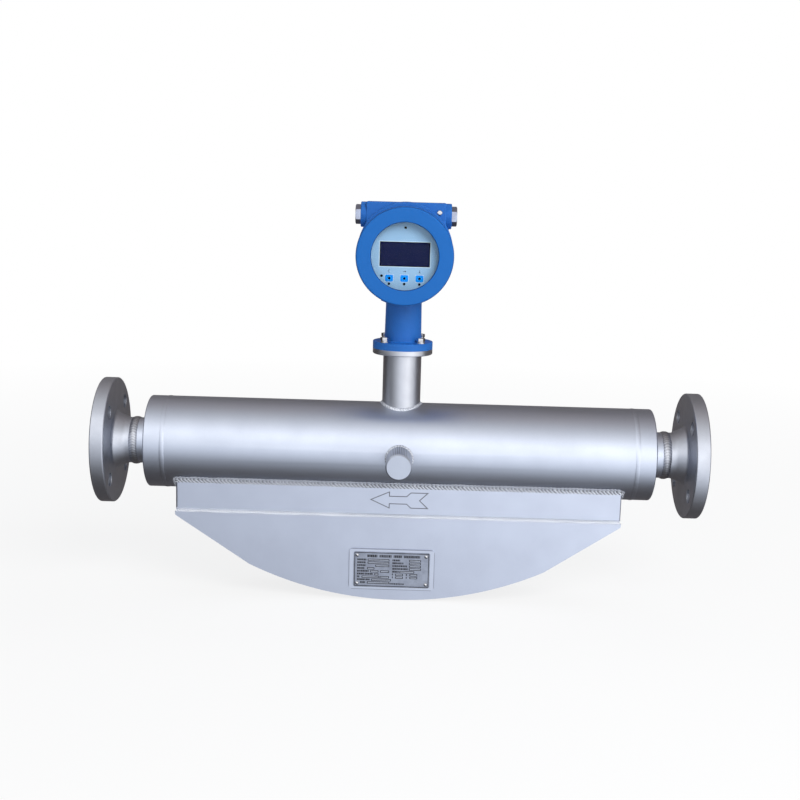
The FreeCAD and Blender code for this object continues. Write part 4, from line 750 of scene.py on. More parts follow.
# rear cover paint: painted shade on the outer rim only
REAR_PAINT_EDGE_SHADE = replace(COVER_PAINT_EDGE_SHADE, name="rear_cover_paint", inner=0.0)
BRIGHT_STEEL = Finish(
    "fastener_steel", colour=(0.62, 0.63, 0.66), shade=(0.38, 0.37, 0.37), metallic=1.0,
    roughness=0.2, spread=0.06, grain_scale=1800.0, patch_scale=260.0, grain_contrast=0.2,
    patch_contrast=0.4, bump=0.2, bump_depth=0.00006, stain=(0.35, 0.30, 0.25), stain_scale=300.0)
NICKEL = Finish(
    "nickel_plating", colour=(0.38, 0.44, 0.58), shade=(0.26, 0.25, 0.29), metallic=1.0,
    roughness=0.18, spread=0.05, patch_scale=120.0, grain_contrast=0.2, patch_contrast=0.5,
    bump=0.15, bump_depth=0.00005, stain=(0.15, 0.11, 0.09), stain_scale=200.0, stain_cover=0.3)
BLACK_OXIDE = Finish(
    "black_oxide", colour=(0.02, 0.02, 0.022), shade=(0.035, 0.033, 0.03), metallic=0.6,
    roughness=0.4, patch_scale=200.0)
ETCHED_PLATE = Finish(
    "etched_plate", colour=(0.43, 0.465, 0.55), shade=(0.25, 0.27, 0.33), metallic=1.0,
    roughness=0.36, grain_scale=2200.0, patch_scale=90.0, grain_contrast=0.45, patch_contrast=0.5,
    bump=0.3, bump_depth=0.00005, stain=(0.25, 0.26, 0.30), stain_scale=110.0, stain_cover=0.3)
PLATE_CELL = Finish(
    "plate_cell", colour=(0.60, 0.64, 0.73), shade=(0.50, 0.535, 0.62), metallic=1.0, roughness=0.4,
    grain_scale=2600.0, patch_scale=200.0, patch_contrast=0.4)
PLATE_INK = Finish(
    "plate_ink", colour=(0.012, 0.013, 0.018), shade=(0.03, 0.032, 0.04), roughness=0.5, spread=0.1,
    grain_scale=2600.0, patch_scale=300.0, grain_contrast=0.4, patch_contrast=0.5)
RUBBER = Finish(
    "moulded_rubber", colour=(0.016, 0.016, 0.017), shade=(0.03, 0.03, 0.03), roughness=0.62,
    grain_scale=1600.0, patch_scale=80.0, bump=0.3)
BLACK_RING = Finish(
    "anodised_ring", colour=(0.02, 0.022, 0.03), shade=(0.035, 0.037, 0.045), metallic=0.3,
    roughness=0.42, spread=0.06, grain_scale=1800.0, patch_scale=90.0)
PANEL = Finish(
    "printed_film", colour=(0.315, 0.520, 0.735), shade=(0.275, 0.465, 0.675), roughness=0.4,
    spread=0.05, grain_scale=1600.0, patch_scale=60.0, grain_contrast=0.2, patch_contrast=0.25,
    bump_depth=0.00004, specular=0.2)
PANEL_LIGHT = Finish(
    "panel_light_print", colour=(0.60, 0.78, 0.92), shade=(0.55, 0.72, 0.87), roughness=0.4,
    spread=0.05, grain_scale=1600.0, patch_scale=60.0)
PANEL_DARK = Finish(
    "panel_dark_print", colour=(0.035, 0.045, 0.13), shade=(0.06, 0.075, 0.17), spread=0.05,
    grain_scale=1600.0, patch_scale=90.0)
SCREEN = BoxFinish(
    "dark_screen", colour=(0.005, 0.009, 0.046), shade=(0.008, 0.012, 0.056), roughness=0.22,
    spread=0.04, grain_scale=1200.0, patch_scale=150.0, grain_contrast=0.4, patch_contrast=0.4,
    bump=0.05, bump_depth=0.00003, specular=0.08, centre=SCREEN_FACE[0], reach=SCREEN_FACE[1],
    outside=True)
KEY_FILM = Finish(
    "key_film", colour=(0.002, 0.300, 0.95), shade=(0.002, 0.250, 0.85), roughness=0.3, spread=0.04,
    grain_scale=1200.0, patch_scale=200.0, specular=0.1)
DARK_LENS = Finish(
    "dark_lens", colour=(0.003, 0.002, 0.002), shade=(0.010, 0.003, 0.003), roughness=0.25,
    spread=0.04, grain_scale=1200.0, patch_scale=400.0, specular=0.05)
BOARD = Finish(
    "board_mask", colour=(0.02, 0.16, 0.06), shade=(0.01, 0.09, 0.035), roughness=0.35, spread=0.1,
    grain_scale=900.0, patch_scale=250.0, patch_contrast=0.6)
TERMINALS = Finish(
    "terminal_moulding", colour=(0.06, 0.24, 0.11), shade=(0.04, 0.18, 0.08), roughness=0.5,
    spread=0.06, patch_scale=90.0)
RESIN = Finish(
    "cast_resin", colour=(0.02, 0.02, 0.023), shade=(0.035, 0.035, 0.04), roughness=0.3,
    grain_scale=900.0, patch_scale=70.0, coat=0.3)
COPPER = WindingFinish(
    "wound_copper", colour=(0.62, 0.26, 0.11), shade=(0.45, 0.17, 0.07), metallic=1.0,
    roughness=0.3, spread=0.06, patch_scale=200.0, bump=0.7, bump_depth=0.0002)
MAGNET = Finish(
    "magnet_plating", colour=(0.62, 0.62, 0.63), shade=(0.5, 0.5, 0.52), metallic=1.0,
    roughness=0.2, spread=0.05, patch_scale=120.0)
CERAMIC = Finish(
    "ceramic", colour=(0.82, 0.81, 0.77), shade=(0.72, 0.70, 0.65), roughness=0.3, spread=0.05,
    patch_scale=150.0)
JACKET = Finish(
    "woven_jacket", colour=(0.78, 0.78, 0.76), shade=(0.68, 0.68, 0.65), roughness=0.5, spread=0.06,
    patch_scale=90.0)
GLASS = GlassFinish("window_glass")


# Modelling by hand


class Bench:
    """The modelling bench: selection, edit mode and modifiers."""

    MERGE = 0.002 * MM
    FLAT_ANGLE = 0.2
    SMOOTH_ANGLE = 40.0
    SEAM_TOLERANCE = 0.05 * MM
    PRINT_SINK = 0.01

    @staticmethod
    def take(piece: Mesh) -> None:
        """Make one piece the only selected and the active one.

        Args:
            piece: The piece.
        """
        bpy.ops.object.select_all(action="DESELECT")
        piece.select_set(True)
        bpy.context.view_layer.objects.active = piece

    @staticmethod
    def named(name: str) -> Mesh:
        """Name the primitive that was just added.

        Args:
            name: The piece's name.

        Returns:
            The piece.
        """
        piece = bpy.context.active_object
        piece.name = name
        piece.data.name = name
        return piece

    @staticmethod
    def edit(piece: Mesh, *steps: Callable[[], object]) -> None:
        """Run edit-mode steps, which start with all of a piece selected.

        Args:
            piece: The piece.
            steps: Calls of edit-mode operators, in order.
        """
        Bench.take(piece)
        bpy.ops.object.mode_set(mode="EDIT")
        bpy.ops.mesh.select_all(action="SELECT")
        for step in steps:
            step()
        bpy.ops.object.mode_set(mode="OBJECT")

    @staticmethod
    def apply(piece: Mesh, kind: str, **settings: object) -> None:
        """Add a modifier and apply it.

        Args:
            piece: The piece.
            kind: Type of the modifier.
            settings: Its properties.
        """
        Bench.take(piece)
        modifier = piece.modifiers.new(kind.lower(), kind)
        for name, value in settings.items():
            setattr(modifier, name, value)
        bpy.ops.object.modifier_apply(modifier=modifier.name)

    @staticmethod
    def settle(piece: Mesh) -> None:
        """Put the object's place, turn and size into its mesh."""
        Bench.take(piece)
        bpy.ops.object.transform_apply(location=True, rotation=True, scale=True)

    @staticmethod
    def smooth(piece: Mesh, angle: float = 35.0) -> None:
        """Shade smooth, but keep edges sharper than the angle in degrees."""
        Bench.take(piece)
        bpy.ops.object.shade_smooth_by_angle(angle=math.radians(angle))

    @staticmethod
    def join(name: str, parts: Sequence[Mesh]) -> Mesh:
        """Join several pieces into the first, and put its place into its mesh.

        Args:
            name: Name of the joined piece.
            parts: The pieces.

        Returns:
            The joined piece.
        """
        Bench.take(parts[0])
        for part in parts:
            part.select_set(True)
        bpy.ops.object.join()
        joined = Bench.named(name)
        Bench.settle(joined)
        return joined

    @staticmethod
    def print_bar(middle: tuple[float, float], size: tuple[float, float], face_y: float, height: float,
                  turn: float = 0.0) -> Mesh:
        """One thin bar of print on a face that looks to -Y, with its back just below the face.

        Args:
            middle: Its centre (x, z) in millimetres from the meter's middle.
            size: Its width and height.
            face_y: Y of the face.
            height: How far it stands out.
            turn: Turn in degrees about Y.

        Returns:
            The bar.
        """
        centre = Vector((middle[0], face_y - height / 2 + Bench.PRINT_SINK, middle[1])) * MM + MIDDLE
        depth = height + 2 * Bench.PRINT_SINK
        bpy.ops.mesh.primitive_cube_add(size=1.0, location=centre, rotation=(0.0, math.radians(turn), 0.0),
                                        scale=(size[0] * MM, depth * MM, size[1] * MM))
        return Bench.named("print_bar")

    @staticmethod
    def dress(piece: Mesh, finish: Finish | GlassFinish) -> None:
        """Give a piece one finish all over.

        Args:
            piece: The piece.
            finish: Its finish, whose material is built the first time.
        """
        material = bpy.data.materials.get(finish.name) or finish.material()
        if piece.data.materials:
            for index in range(len(piece.data.materials)):
                piece.data.materials[index] = material
        else:
            piece.data.materials.append(material)


@dataclass
class Assembly:
    """Common work of the sub-assemblies: dressing nodes, softening edges, handing over pieces."""

    frame: Frame
    body: Body = Body.METER

    def node(self, name: str) -> Mesh:
        """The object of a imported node."""
        return self.frame["nodes"][name]

    def dress_nodes(self, finish: Finish | GlassFinish, *names: str) -> None:
        """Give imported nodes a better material.

        Args:
            finish: The finish.
            names: The nodes.
        """
        for name in names:
            Bench.dress(self.node(name), finish)
            log.info("dressed %s as %s", name, finish.name)

    def softened(self, name: str, finish: Finish, slot: Slot, width: float = 0.5, segments: int = 2,
                 body: Body | None = None, angle: float = 30.0, seam_z: float | None = None) -> Mesh:
        """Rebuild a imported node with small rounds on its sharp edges.

        Args:
            name: The node.
            finish: Finish of the new piece.
            slot: Material slot of the record.
            width: Width of the rounds in millimetres.
            segments: Faces across a round.
            body: Body that carries the piece.
            angle: Edges sharper than this many degrees are rounded.
            seam_z: Height in millimetres of a joint whose edges stay sharp.

        Returns:
            The new piece, which stands for the node.
        """
        piece = bpy.data.objects.new(name + "_rounded", self.node(name).data.copy())
        bpy.context.scene.collection.objects.link(piece)
        Bench.take(piece)
        bpy.ops.mesh.customdata_custom_splitnormals_clear()
        Bench.edit(piece, lambda: bpy.ops.mesh.remove_doubles(threshold=Bench.MERGE),
                   lambda: bpy.ops.mesh.dissolve_limited(angle_limit=math.radians(Bench.FLAT_ANGLE)),
                   lambda: bpy.ops.mesh.select_mode(type="EDGE"),
                   lambda: bpy.ops.mesh.select_all(action="DESELECT"),
                   lambda: bpy.ops.mesh.edges_select_sharp(sharpness=math.radians(angle)))
        weights = piece.data.attributes.new("bevel_weight_edge", "FLOAT", "EDGE")
        for edge in piece.data.edges:
            heights = [piece.data.vertices[index].co.z for index in edge.vertices]
            seam = seam_z is not None and all(abs(height - seam_z * MM) < Bench.SEAM_TOLERANCE
                                              for height in heights)
            weights.data[edge.index].value = float(edge.select and not seam)
        Bench.apply(piece, "BEVEL", width=width * MM, segments=segments, limit_method="WEIGHT",
                    miter_outer="MITER_ARC", use_clamp_overlap=True)
        Bench.smooth(piece, Bench.SMOOTH_ANGLE)
        Bench.apply(piece, "WEIGHTED_NORMAL", keep_sharp=True, weight=100)
        Bench.dress(piece, finish)
        return self.hand_over(piece, slot, body, name)

    def hand_over(self, piece: Mesh, slot: Slot | None = None, body: Body | None = None,
                  *nodes: str) -> Mesh:
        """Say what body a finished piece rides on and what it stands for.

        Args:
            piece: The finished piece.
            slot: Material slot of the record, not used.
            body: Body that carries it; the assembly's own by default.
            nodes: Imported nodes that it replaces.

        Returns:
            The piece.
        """
        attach(piece, (body or self.body).value)
        if nodes:
            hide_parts(*nodes)
        log.info("made %s: %d faces", piece.name, len(piece.data.polygons))
        return piece


# Weld beads


@dataclass(frozen=True)
class Ripple:
    """How the welder's ripples run along a bead, in millimetres."""

    pitch: float = 4.7
    lead: float = 0.9
    height: float = 0.3
    wander: float = 0.07
    samples: int = 7


@dataclass(frozen=True)
class Section:
    """One cross-section of a bead: its middle, half its width, the way out, its root and its travel."""

    middle: Vector
    across: Vector
    out: Vector
    root: Vector
    travel: float


@dataclass
class WeldBead:
    """A bead of weld metal with ripples, swept along its sections."""

    name: str
    ripple: Ripple
    seed: int
    bulge: float
    around: int = 10
    finish: Finish = WELD_STEEL
    memory: float = 0.9
    drift_step: float = 0.06
    wander_share: float = 0.45
    fade_sections: int = 12
    curl: float = 1.3
    merge: float = 0.01 * MM
    smooth_angle: float = 60.0

    def lift(self, side: float, travel: float, drift: float) -> float:
        """Height of the bead over the straight line between its edges.

        Args:
            side: Place across the bead, from -1 to 1.
            travel: Distance along the bead in millimetres.
            drift: Unevenness at this section.

        Returns:
            The height in millimetres.
        """
        share = self.share(side, travel, drift)
        arch = max(0.0, 1.0 - side * side)
        return self.bulge * arch + self.ripple.height * math.sqrt(arch) * (1.0 - (1.0 - share) ** 2)

    def share(self, side: float, travel: float, drift: float) -> float:
        """How far one point lies from the hollow to the crest of its ripple, from 0 to 1."""
        phase = travel / self.ripple.pitch - self.ripple.lead * abs(side) ** self.curl + drift
        return phase - math.floor(phase)

    def build(self, sections: Sequence[Section], closed: bool) -> Mesh:
        """Sweep the bead.

        Args:
            sections: Cross-sections in order; a closed bead ends on a copy of its first.
            closed: True where the bead runs into itself.

        Returns:
            The bead's mesh object.
        """
        rng = random.Random(self.seed)
        count = len(sections)
        rows = self.around + 2
        bpy.ops.object.select_all(action="DESELECT")
        bpy.ops.mesh.primitive_grid_add(x_subdivisions=count - 1, y_subdivisions=rows, size=1.0)
        bead = Bench.named(self.name)
        drift, wander = 0.0, 0.0
        vertices = bead.data.vertices
        # ripple attribute: the weld finish reads it for its painted shade and highlight
        tone = bead.data.attributes.new("ripple", "FLOAT", "POINT").data
        for index, section in enumerate(sections):
            drift = self.memory * drift + rng.uniform(-self.drift_step, self.drift_step)
            wander = self.memory * wander
            wander += rng.uniform(-self.ripple.wander, self.ripple.wander) * self.wander_share
            if closed:
                fade = min(1.0, index / self.fade_sections, (count - 1 - index) / self.fade_sections)
                drift, wander = drift * fade, wander * fade
            for row in range(rows + 1):
                side = -math.cos(math.pi * row / self.around) if row <= self.around else -1.0
                point = section.middle + section.across * (side * (1.0 + wander))
                point += section.out * self.lift(side, section.travel, drift)
                if row == self.around + 1:
                    point = section.root
                vertices[row * count + index].co = point * MM + MIDDLE
                share = self.share(side, section.travel, drift)
                tone[row * count + index].value = max(LEAST_RIPPLE, share)
        steps = [lambda: bpy.ops.mesh.remove_doubles(threshold=self.merge)]
        if not closed:
            steps += [lambda: bpy.ops.mesh.select_all(action="SELECT"),
                      lambda: bpy.ops.mesh.fill_holes(sides=0)]
        steps += [lambda: bpy.ops.mesh.select_all(action="SELECT"),
                  lambda: bpy.ops.mesh.normals_make_consistent(inside=False)]
        Bench.edit(bead, *steps)
        Bench.smooth(bead, self.smooth_angle)
        Bench.dress(bead, self.finish)
        return bead


def fillet_section(foot: Vector, first: Vector, second: Vector, legs: tuple[float, float],
                   travel: float) -> Section:
    """Cross-section of a fillet bead in the corner between two surfaces.

    Args:
        foot: The corner.
        first: Direction along the first surface.
        second: Direction along the second surface.
        legs: Reach of the bead on each surface, in millimetres.
        travel: Distance along the bead.

    Returns:
        The section.
    """
    start = foot + first.normalized() * legs[0]
    end = foot + second.normalized() * legs[1]
    across = (end - start) / 2
    middle = (start + end) / 2
    out = middle - foot
    out = (out - across * (out.dot(across) / across.dot(across))).normalized()
    return Section(middle, across, out, foot - out * FILLET_ROOT, travel)


def ring_sections(radius: float, centre_x: float, half_width: float, samples: int) -> list[Section]:
    """Sections of a bead that runs round a pipe along X.

    Args:
        radius: Radius of the pipe.
        centre_x: Middle of the bead along X.
        half_width: Half of the bead's width.
        samples: Number of sections in one turn.

    Returns:
        The sections; the last lies on the first.
    """
    sections = []
    for index in range(samples + 1):
        turn = 2 * math.pi * (index % samples) / samples
        out = Vector((0.0, math.cos(turn), math.sin(turn)))
        middle = out * radius + X_AXIS * centre_x
        sections.append(Section(middle, X_AXIS * half_width, out, middle - out * RING_ROOT,
                                2 * math.pi * radius * index / samples))
    return sections


def tube(name: str, centre: Sequence[float], axis: Vector, outer: float, inner: float, length: float,
         faces: int) -> Mesh:
    """A plain ring with a rectangular section.

    Args:
        name: Name of the piece.
        centre: Middle of the ring in millimetres from the meter's middle.
        axis: Its axis.
        outer: Outer radius.
        inner: Inner radius.
        length: Length along the axis.
        faces: Faces round the ring.

    Returns:
        The ring.
    """
    walls = []
    for radius in (outer, inner):
        bpy.ops.mesh.primitive_cylinder_add(vertices=faces, radius=radius * MM, depth=length * MM,
                                            end_fill_type="NOTHING")
        walls.append(Bench.named(name))
    ring = Bench.join(name, walls)
    for end in (-1, 1):
        Bench.edit(ring, lambda: bpy.ops.mesh.select_all(action="DESELECT"))
        for vertex in ring.data.vertices:
            vertex.select = vertex.co.z * end > 0
        Bench.take(ring)
        bpy.ops.object.mode_set(mode="EDIT")
        bpy.ops.mesh.select_mode(type="VERT")
        bpy.ops.mesh.bridge_edge_loops()
        bpy.ops.object.mode_set(mode="OBJECT")
    Bench.edit(ring, lambda: bpy.ops.mesh.normals_make_consistent(inside=False))
    ring.rotation_mode = "QUATERNION"
    ring.rotation_quaternion = axis.to_track_quat("Z", "Y")
    ring.location = Vector(centre) * MM + MIDDLE
    Bench.settle(ring)
    Bench.smooth(ring)
    return ring


# Sub-assemblies


@dataclass
class PipeLine(Assembly):
    """Flanges, their butt welds and the flow splitters."""

    weld_x: float = 349.0
    pipe_radius: float = 30.15
    bore_radius: float = 26.25
    crown_half_width: float = 5.5
    crown_height: float = 1.7
    crown_sink: float = 0.15
    root_half_width: float = 2.0

    def build(self) -> None:
        """Make the pipe line's pieces."""
        for name in ("outlet_flange", "inlet_flange"):
            self.softened(name, FLANGE_STEEL, Slot.STAINLESS, width=0.45)
        self.dress_nodes(BLASTED_STEEL, "inlet_splitter", "outlet_splitter")
        crowns = [self.pipe_weld(side) for side in (-1, 1)]
        self.hand_over(Bench.join("pipe_weld_beads", crowns), Slot.WELD, None, "pipe_welds")

    def pipe_weld(self, side: int) -> Mesh:
        """Crown and root of one butt weld.

        Args:
            side: -1 or 1.

        Returns:
            The weld.
        """
        ripple = Ripple(pitch=3.6, lead=0.7, height=0.3, wander=0.06, samples=6)
        bead = WeldBead("pipe_weld", ripple, seed=20 + side, bulge=self.crown_height - ripple.height,
                        around=12, finish=BUTT_STEEL)
        samples = round(2 * math.pi * self.pipe_radius / ripple.pitch) * ripple.samples
        crown = bead.build(ring_sections(self.pipe_radius - self.crown_sink, side * self.weld_x,
                                         self.crown_half_width, samples), closed=True)
        root = tube("weld_root", (side * self.weld_x, 0.0, 0.0), X_AXIS, self.pipe_radius, self.bore_radius,
                    2 * self.root_half_width, 64)
        Bench.dress(root, BUTT_STEEL)
        return Bench.join("pipe_weld", [crown, root])


@dataclass
class Housing(Assembly):
    """Round housing with its end caps, purge port and weld beads."""

    radius: float = 60.3
    wall: float = 4.0
    cap_end_x: float = 330.0
    seam_x: float = 305.5
    seam_half_width: float = 2.5
    seam_height: float = 0.45
    seam_overlap: float = 0.5
    seam_sink: float = 0.05
    nozzle_radius: float = 30.15
    nozzle_leg: float = 6.0
    nozzle_bulge: float = 1.0
    port_radius: float = 16.75
    port_z: float = -3.0
    port_leg: float = 1.9
    neck_radius: float = 25.0
    neck_leg: float = 2.4
    saddle_bulge: float = 0.2

    def build(self) -> None:
        """Make the housing's pieces."""
        self.dress_nodes(BLASTED_STEEL, "housing_tube")
        for name in ("inlet_end_cap", "outlet_end_cap"):
            self.softened(name, BLASTED_STEEL, Slot.STAINLESS, width=0.4)
        self.softened("purge_port", PORT_STEEL, Slot.STAINLESS, width=0.35)
        beads = []
        for side in (-1, 1):
            beads += [self.seam(side), self.nozzle_fillet(side)]
        self.hand_over(Bench.join("end_cap_beads", beads), Slot.WELD, None, "end_cap_welds")
        port = self.saddle_bead("purge_port_bead", Vector((0, 0, self.port_z)), Y_AXIS * -1,
                                self.port_radius, self.port_leg, seed=5)
        self.hand_over(port, Slot.WELD, None, "purge_port_weld")
        neck = self.saddle_bead("neck_bead", Vector((0, 0, 0)), Z_AXIS, self.neck_radius, self.neck_leg,
                                seed=6)
        self.hand_over(neck, Slot.WELD, None, "neck_weld")

    def seam(self, side: int) -> Mesh:
        """Low seam between the tube and one end cap.

        Args:
            side: -1 or 1.

        Returns:
            The seam.
        """
        ripple = Ripple(pitch=3.2, lead=0.5, height=0.12, wander=0.1, samples=4)
        samples = round(2 * math.pi * self.radius / ripple.pitch) * ripple.samples
        bead = WeldBead("seam_bead", ripple, seed=30 + side, bulge=self.seam_height - ripple.height,
                        around=6, finish=BLASTED_STEEL)
        crown = bead.build(ring_sections(self.radius - self.seam_sink, side * self.seam_x,
                                         self.seam_half_width + self.seam_overlap, samples), closed=True)
        root = tube("seam_root", (side * self.seam_x, 0.0, 0.0), X_AXIS, self.radius,
                    self.radius - self.wall, 2 * self.seam_half_width, 96)
        Bench.dress(root, BLASTED_STEEL)
        return Bench.join("seam", [crown, root])

    def nozzle_fillet(self, side: int) -> Mesh:
        """Fillet bead between one end cap and its nozzle.

        Args:
            side: -1 or 1.

        Returns:
            The bead.
        """
        ripple = Ripple(pitch=3.6, lead=0.6, height=0.35, wander=0.06, samples=6)
        length = 2 * math.pi * (self.nozzle_radius + self.nozzle_leg / 2)
        count = round(length / ripple.pitch) * ripple.samples
        sections = []
        for index in range(count + 1):
            turn = 2 * math.pi * (index % count) / count
            out = Vector((0.0, math.cos(turn), math.sin(turn)))
            foot = out * self.nozzle_radius + X_AXIS * (side * self.cap_end_x)
            sections.append(fillet_section(foot, out, X_AXIS * side, (self.nozzle_leg, self.nozzle_leg),
                                           length * index / count))
        bead = WeldBead("nozzle_fillet", ripple, seed=40 + side, bulge=self.nozzle_bulge, finish=BUTT_STEEL)
        return bead.build(sections, closed=True)

    def saddle_bead(self, name: str, origin: Vector, axis: Vector, radius: float, leg: float,
                    seed: int) -> Mesh:
        """Fillet bead round a stub that stands on the housing.

        Args:
            name: Name of the piece.
            origin: Point on the stub's axis.
            axis: Direction of the stub, square to X.
            radius: Its radius.
            leg: Reach of the bead.
            seed: Seed of its unevenness.

        Returns:
            The bead.
        """
        ripple = Ripple(pitch=3.4, lead=0.7, height=0.25, wander=0.08, samples=6)
        length = 2 * math.pi * radius
        count = round(length / ripple.pitch) * ripple.samples
        side = axis.cross(X_AXIS)
        sections = []
        for index in range(count + 1):
            turn = 2 * math.pi * (index % count) / count
            spread = X_AXIS * math.cos(turn) + side * math.sin(turn)
            foot = origin + spread * radius
            across = foot.dot(side)
            foot = X_AXIS * foot.x + side * across + axis * math.sqrt(self.radius ** 2 - across ** 2)
            normal = Vector((0.0, foot.y, foot.z)).normalized()
            along = spread - normal * spread.dot(normal)
            sections.append(fillet_section(foot, along, axis, (leg, leg), length * index / count))
        return WeldBead(name, ripple, seed, self.saddle_bulge).build(sections, closed=True)


@dataclass
class Casing(Assembly):
    """Skirt and fin below the housing, with their long weld beads."""

    tube_radius: float = 60.3
    half_length: float = 290.0
    half_width: float = 43.0
    corner: float = 3.0
    fin_top_z: float = -83.5
    leg_on_tube: float = 8.0
    leg_on_end: float = 3.8
    leg_on_skirt: float = 3.4
    bulge: float = -1.35
    fin_leg: float = 4.0
    fin_bulge: float = 0.6
    fin_end_gap: float = 1.0

    def build(self) -> None:
        """Make the casing's pieces."""
        self.dress_nodes(SKIRT_STEEL_GROOVE_SHADE, "casing_skirt")
        self.dress_nodes(PLATE_STEEL, "fin_rim_strip")
        for name in ("fin_front_plate", "fin_rear_plate"):
            self.softened(name, PLATE_STEEL, Slot.STAINLESS, width=0.7)
        self.hand_over(self.skirt_bead(), Slot.WELD, None, "skirt_weld")
        beads = [self.fin_bead(side) for side in (-1, 1)]
        self.hand_over(Bench.join("fin_beads", beads), Slot.WELD, None, "fin_weld")

    def outline_point(self, distance: float) -> tuple[Vector, Vector]:
        """Point and outward direction on the skirt's rounded outline, seen from above.

        Args:
            distance: Length along the outline from the front's left corner, towards +X first.

        Returns:
            The point and the direction.
        """
        flat_x, flat_y = self.half_length - self.corner, self.half_width - self.corner
        arc = math.pi / 2 * self.corner
        sides = ((2 * flat_x, X_AXIS, Y_AXIS * -1), (2 * flat_y, Y_AXIS, X_AXIS),
                 (2 * flat_x, X_AXIS * -1, Y_AXIS), (2 * flat_y, Y_AXIS * -1, X_AXIS * -1))
        for length, along, out in sides:
            middle = out * (self.half_width if abs(out.y) > 0.5 else self.half_length)
            if distance <= length:
                return middle + along * (distance - length / 2), out
            distance -= length
            if distance <= arc:
                turn = distance / self.corner
                centre = middle - out * self.corner + along * (length / 2)
                spread = out * math.cos(turn) + along * math.sin(turn)
                return centre + spread * self.corner, spread
            distance -= arc
        return Vector((-flat_x, -self.half_width, 0.0)), Y_AXIS * -1

    def skirt_bead(self) -> Mesh:
        """Rippled bead all round the skirt's top edge, where it meets the housing.

        Returns:
            The bead.
        """
        total = (4 * (self.half_length + self.half_width - 2 * self.corner) + 2 * math.pi * self.corner)
        ripple = Ripple(pitch=4.9, lead=1.1, height=0.7, wander=0.1, samples=8)
        count = round(total / ripple.pitch) * ripple.samples
        sections = []
        for index in range(count + 1):
            place, out = self.outline_point(total * (index % count) / count)
            foot = Vector((place.x, place.y, -math.sqrt(self.tube_radius ** 2 - place.y ** 2)))
            normal = Vector((0.0, foot.y, foot.z)).normalized()
            along = out - normal * out.dot(normal)
            leg = self.leg_on_tube + (self.leg_on_end - self.leg_on_tube) * abs(out.x)
            sections.append(fillet_section(foot, along, Z_AXIS * -1, (leg, self.leg_on_skirt),
                                           total * index / count))
        bead = WeldBead("skirt_bead", ripple, seed=7, bulge=self.bulge, around=12)
        return bead.build(sections, closed=True)

    def fin_bead(self, side: int) -> Mesh:
        """Bead along the top edge of one fin plate.

        Args:
            side: -1 for the front, 1 for the rear.

        Returns:
            The bead.
        """
        ripple = Ripple(pitch=3.4, lead=0.8, height=0.3, wander=0.12, samples=6)
        reach = self.half_length - self.fin_end_gap
        count = round(2 * reach / ripple.pitch) * ripple.samples
        sections = []
        for index in range(count + 1):
            foot = Vector((-reach + 2 * reach * index / count, side * self.half_width, self.fin_top_z))
            sections.append(fillet_section(foot, Z_AXIS, Y_AXIS * side, (self.fin_leg, self.fin_leg),
                                           2 * reach * index / count))
        bead = WeldBead("fin_bead", ripple, seed=9 + side, bulge=self.fin_bulge)
        return bead.build(sections, closed=False)


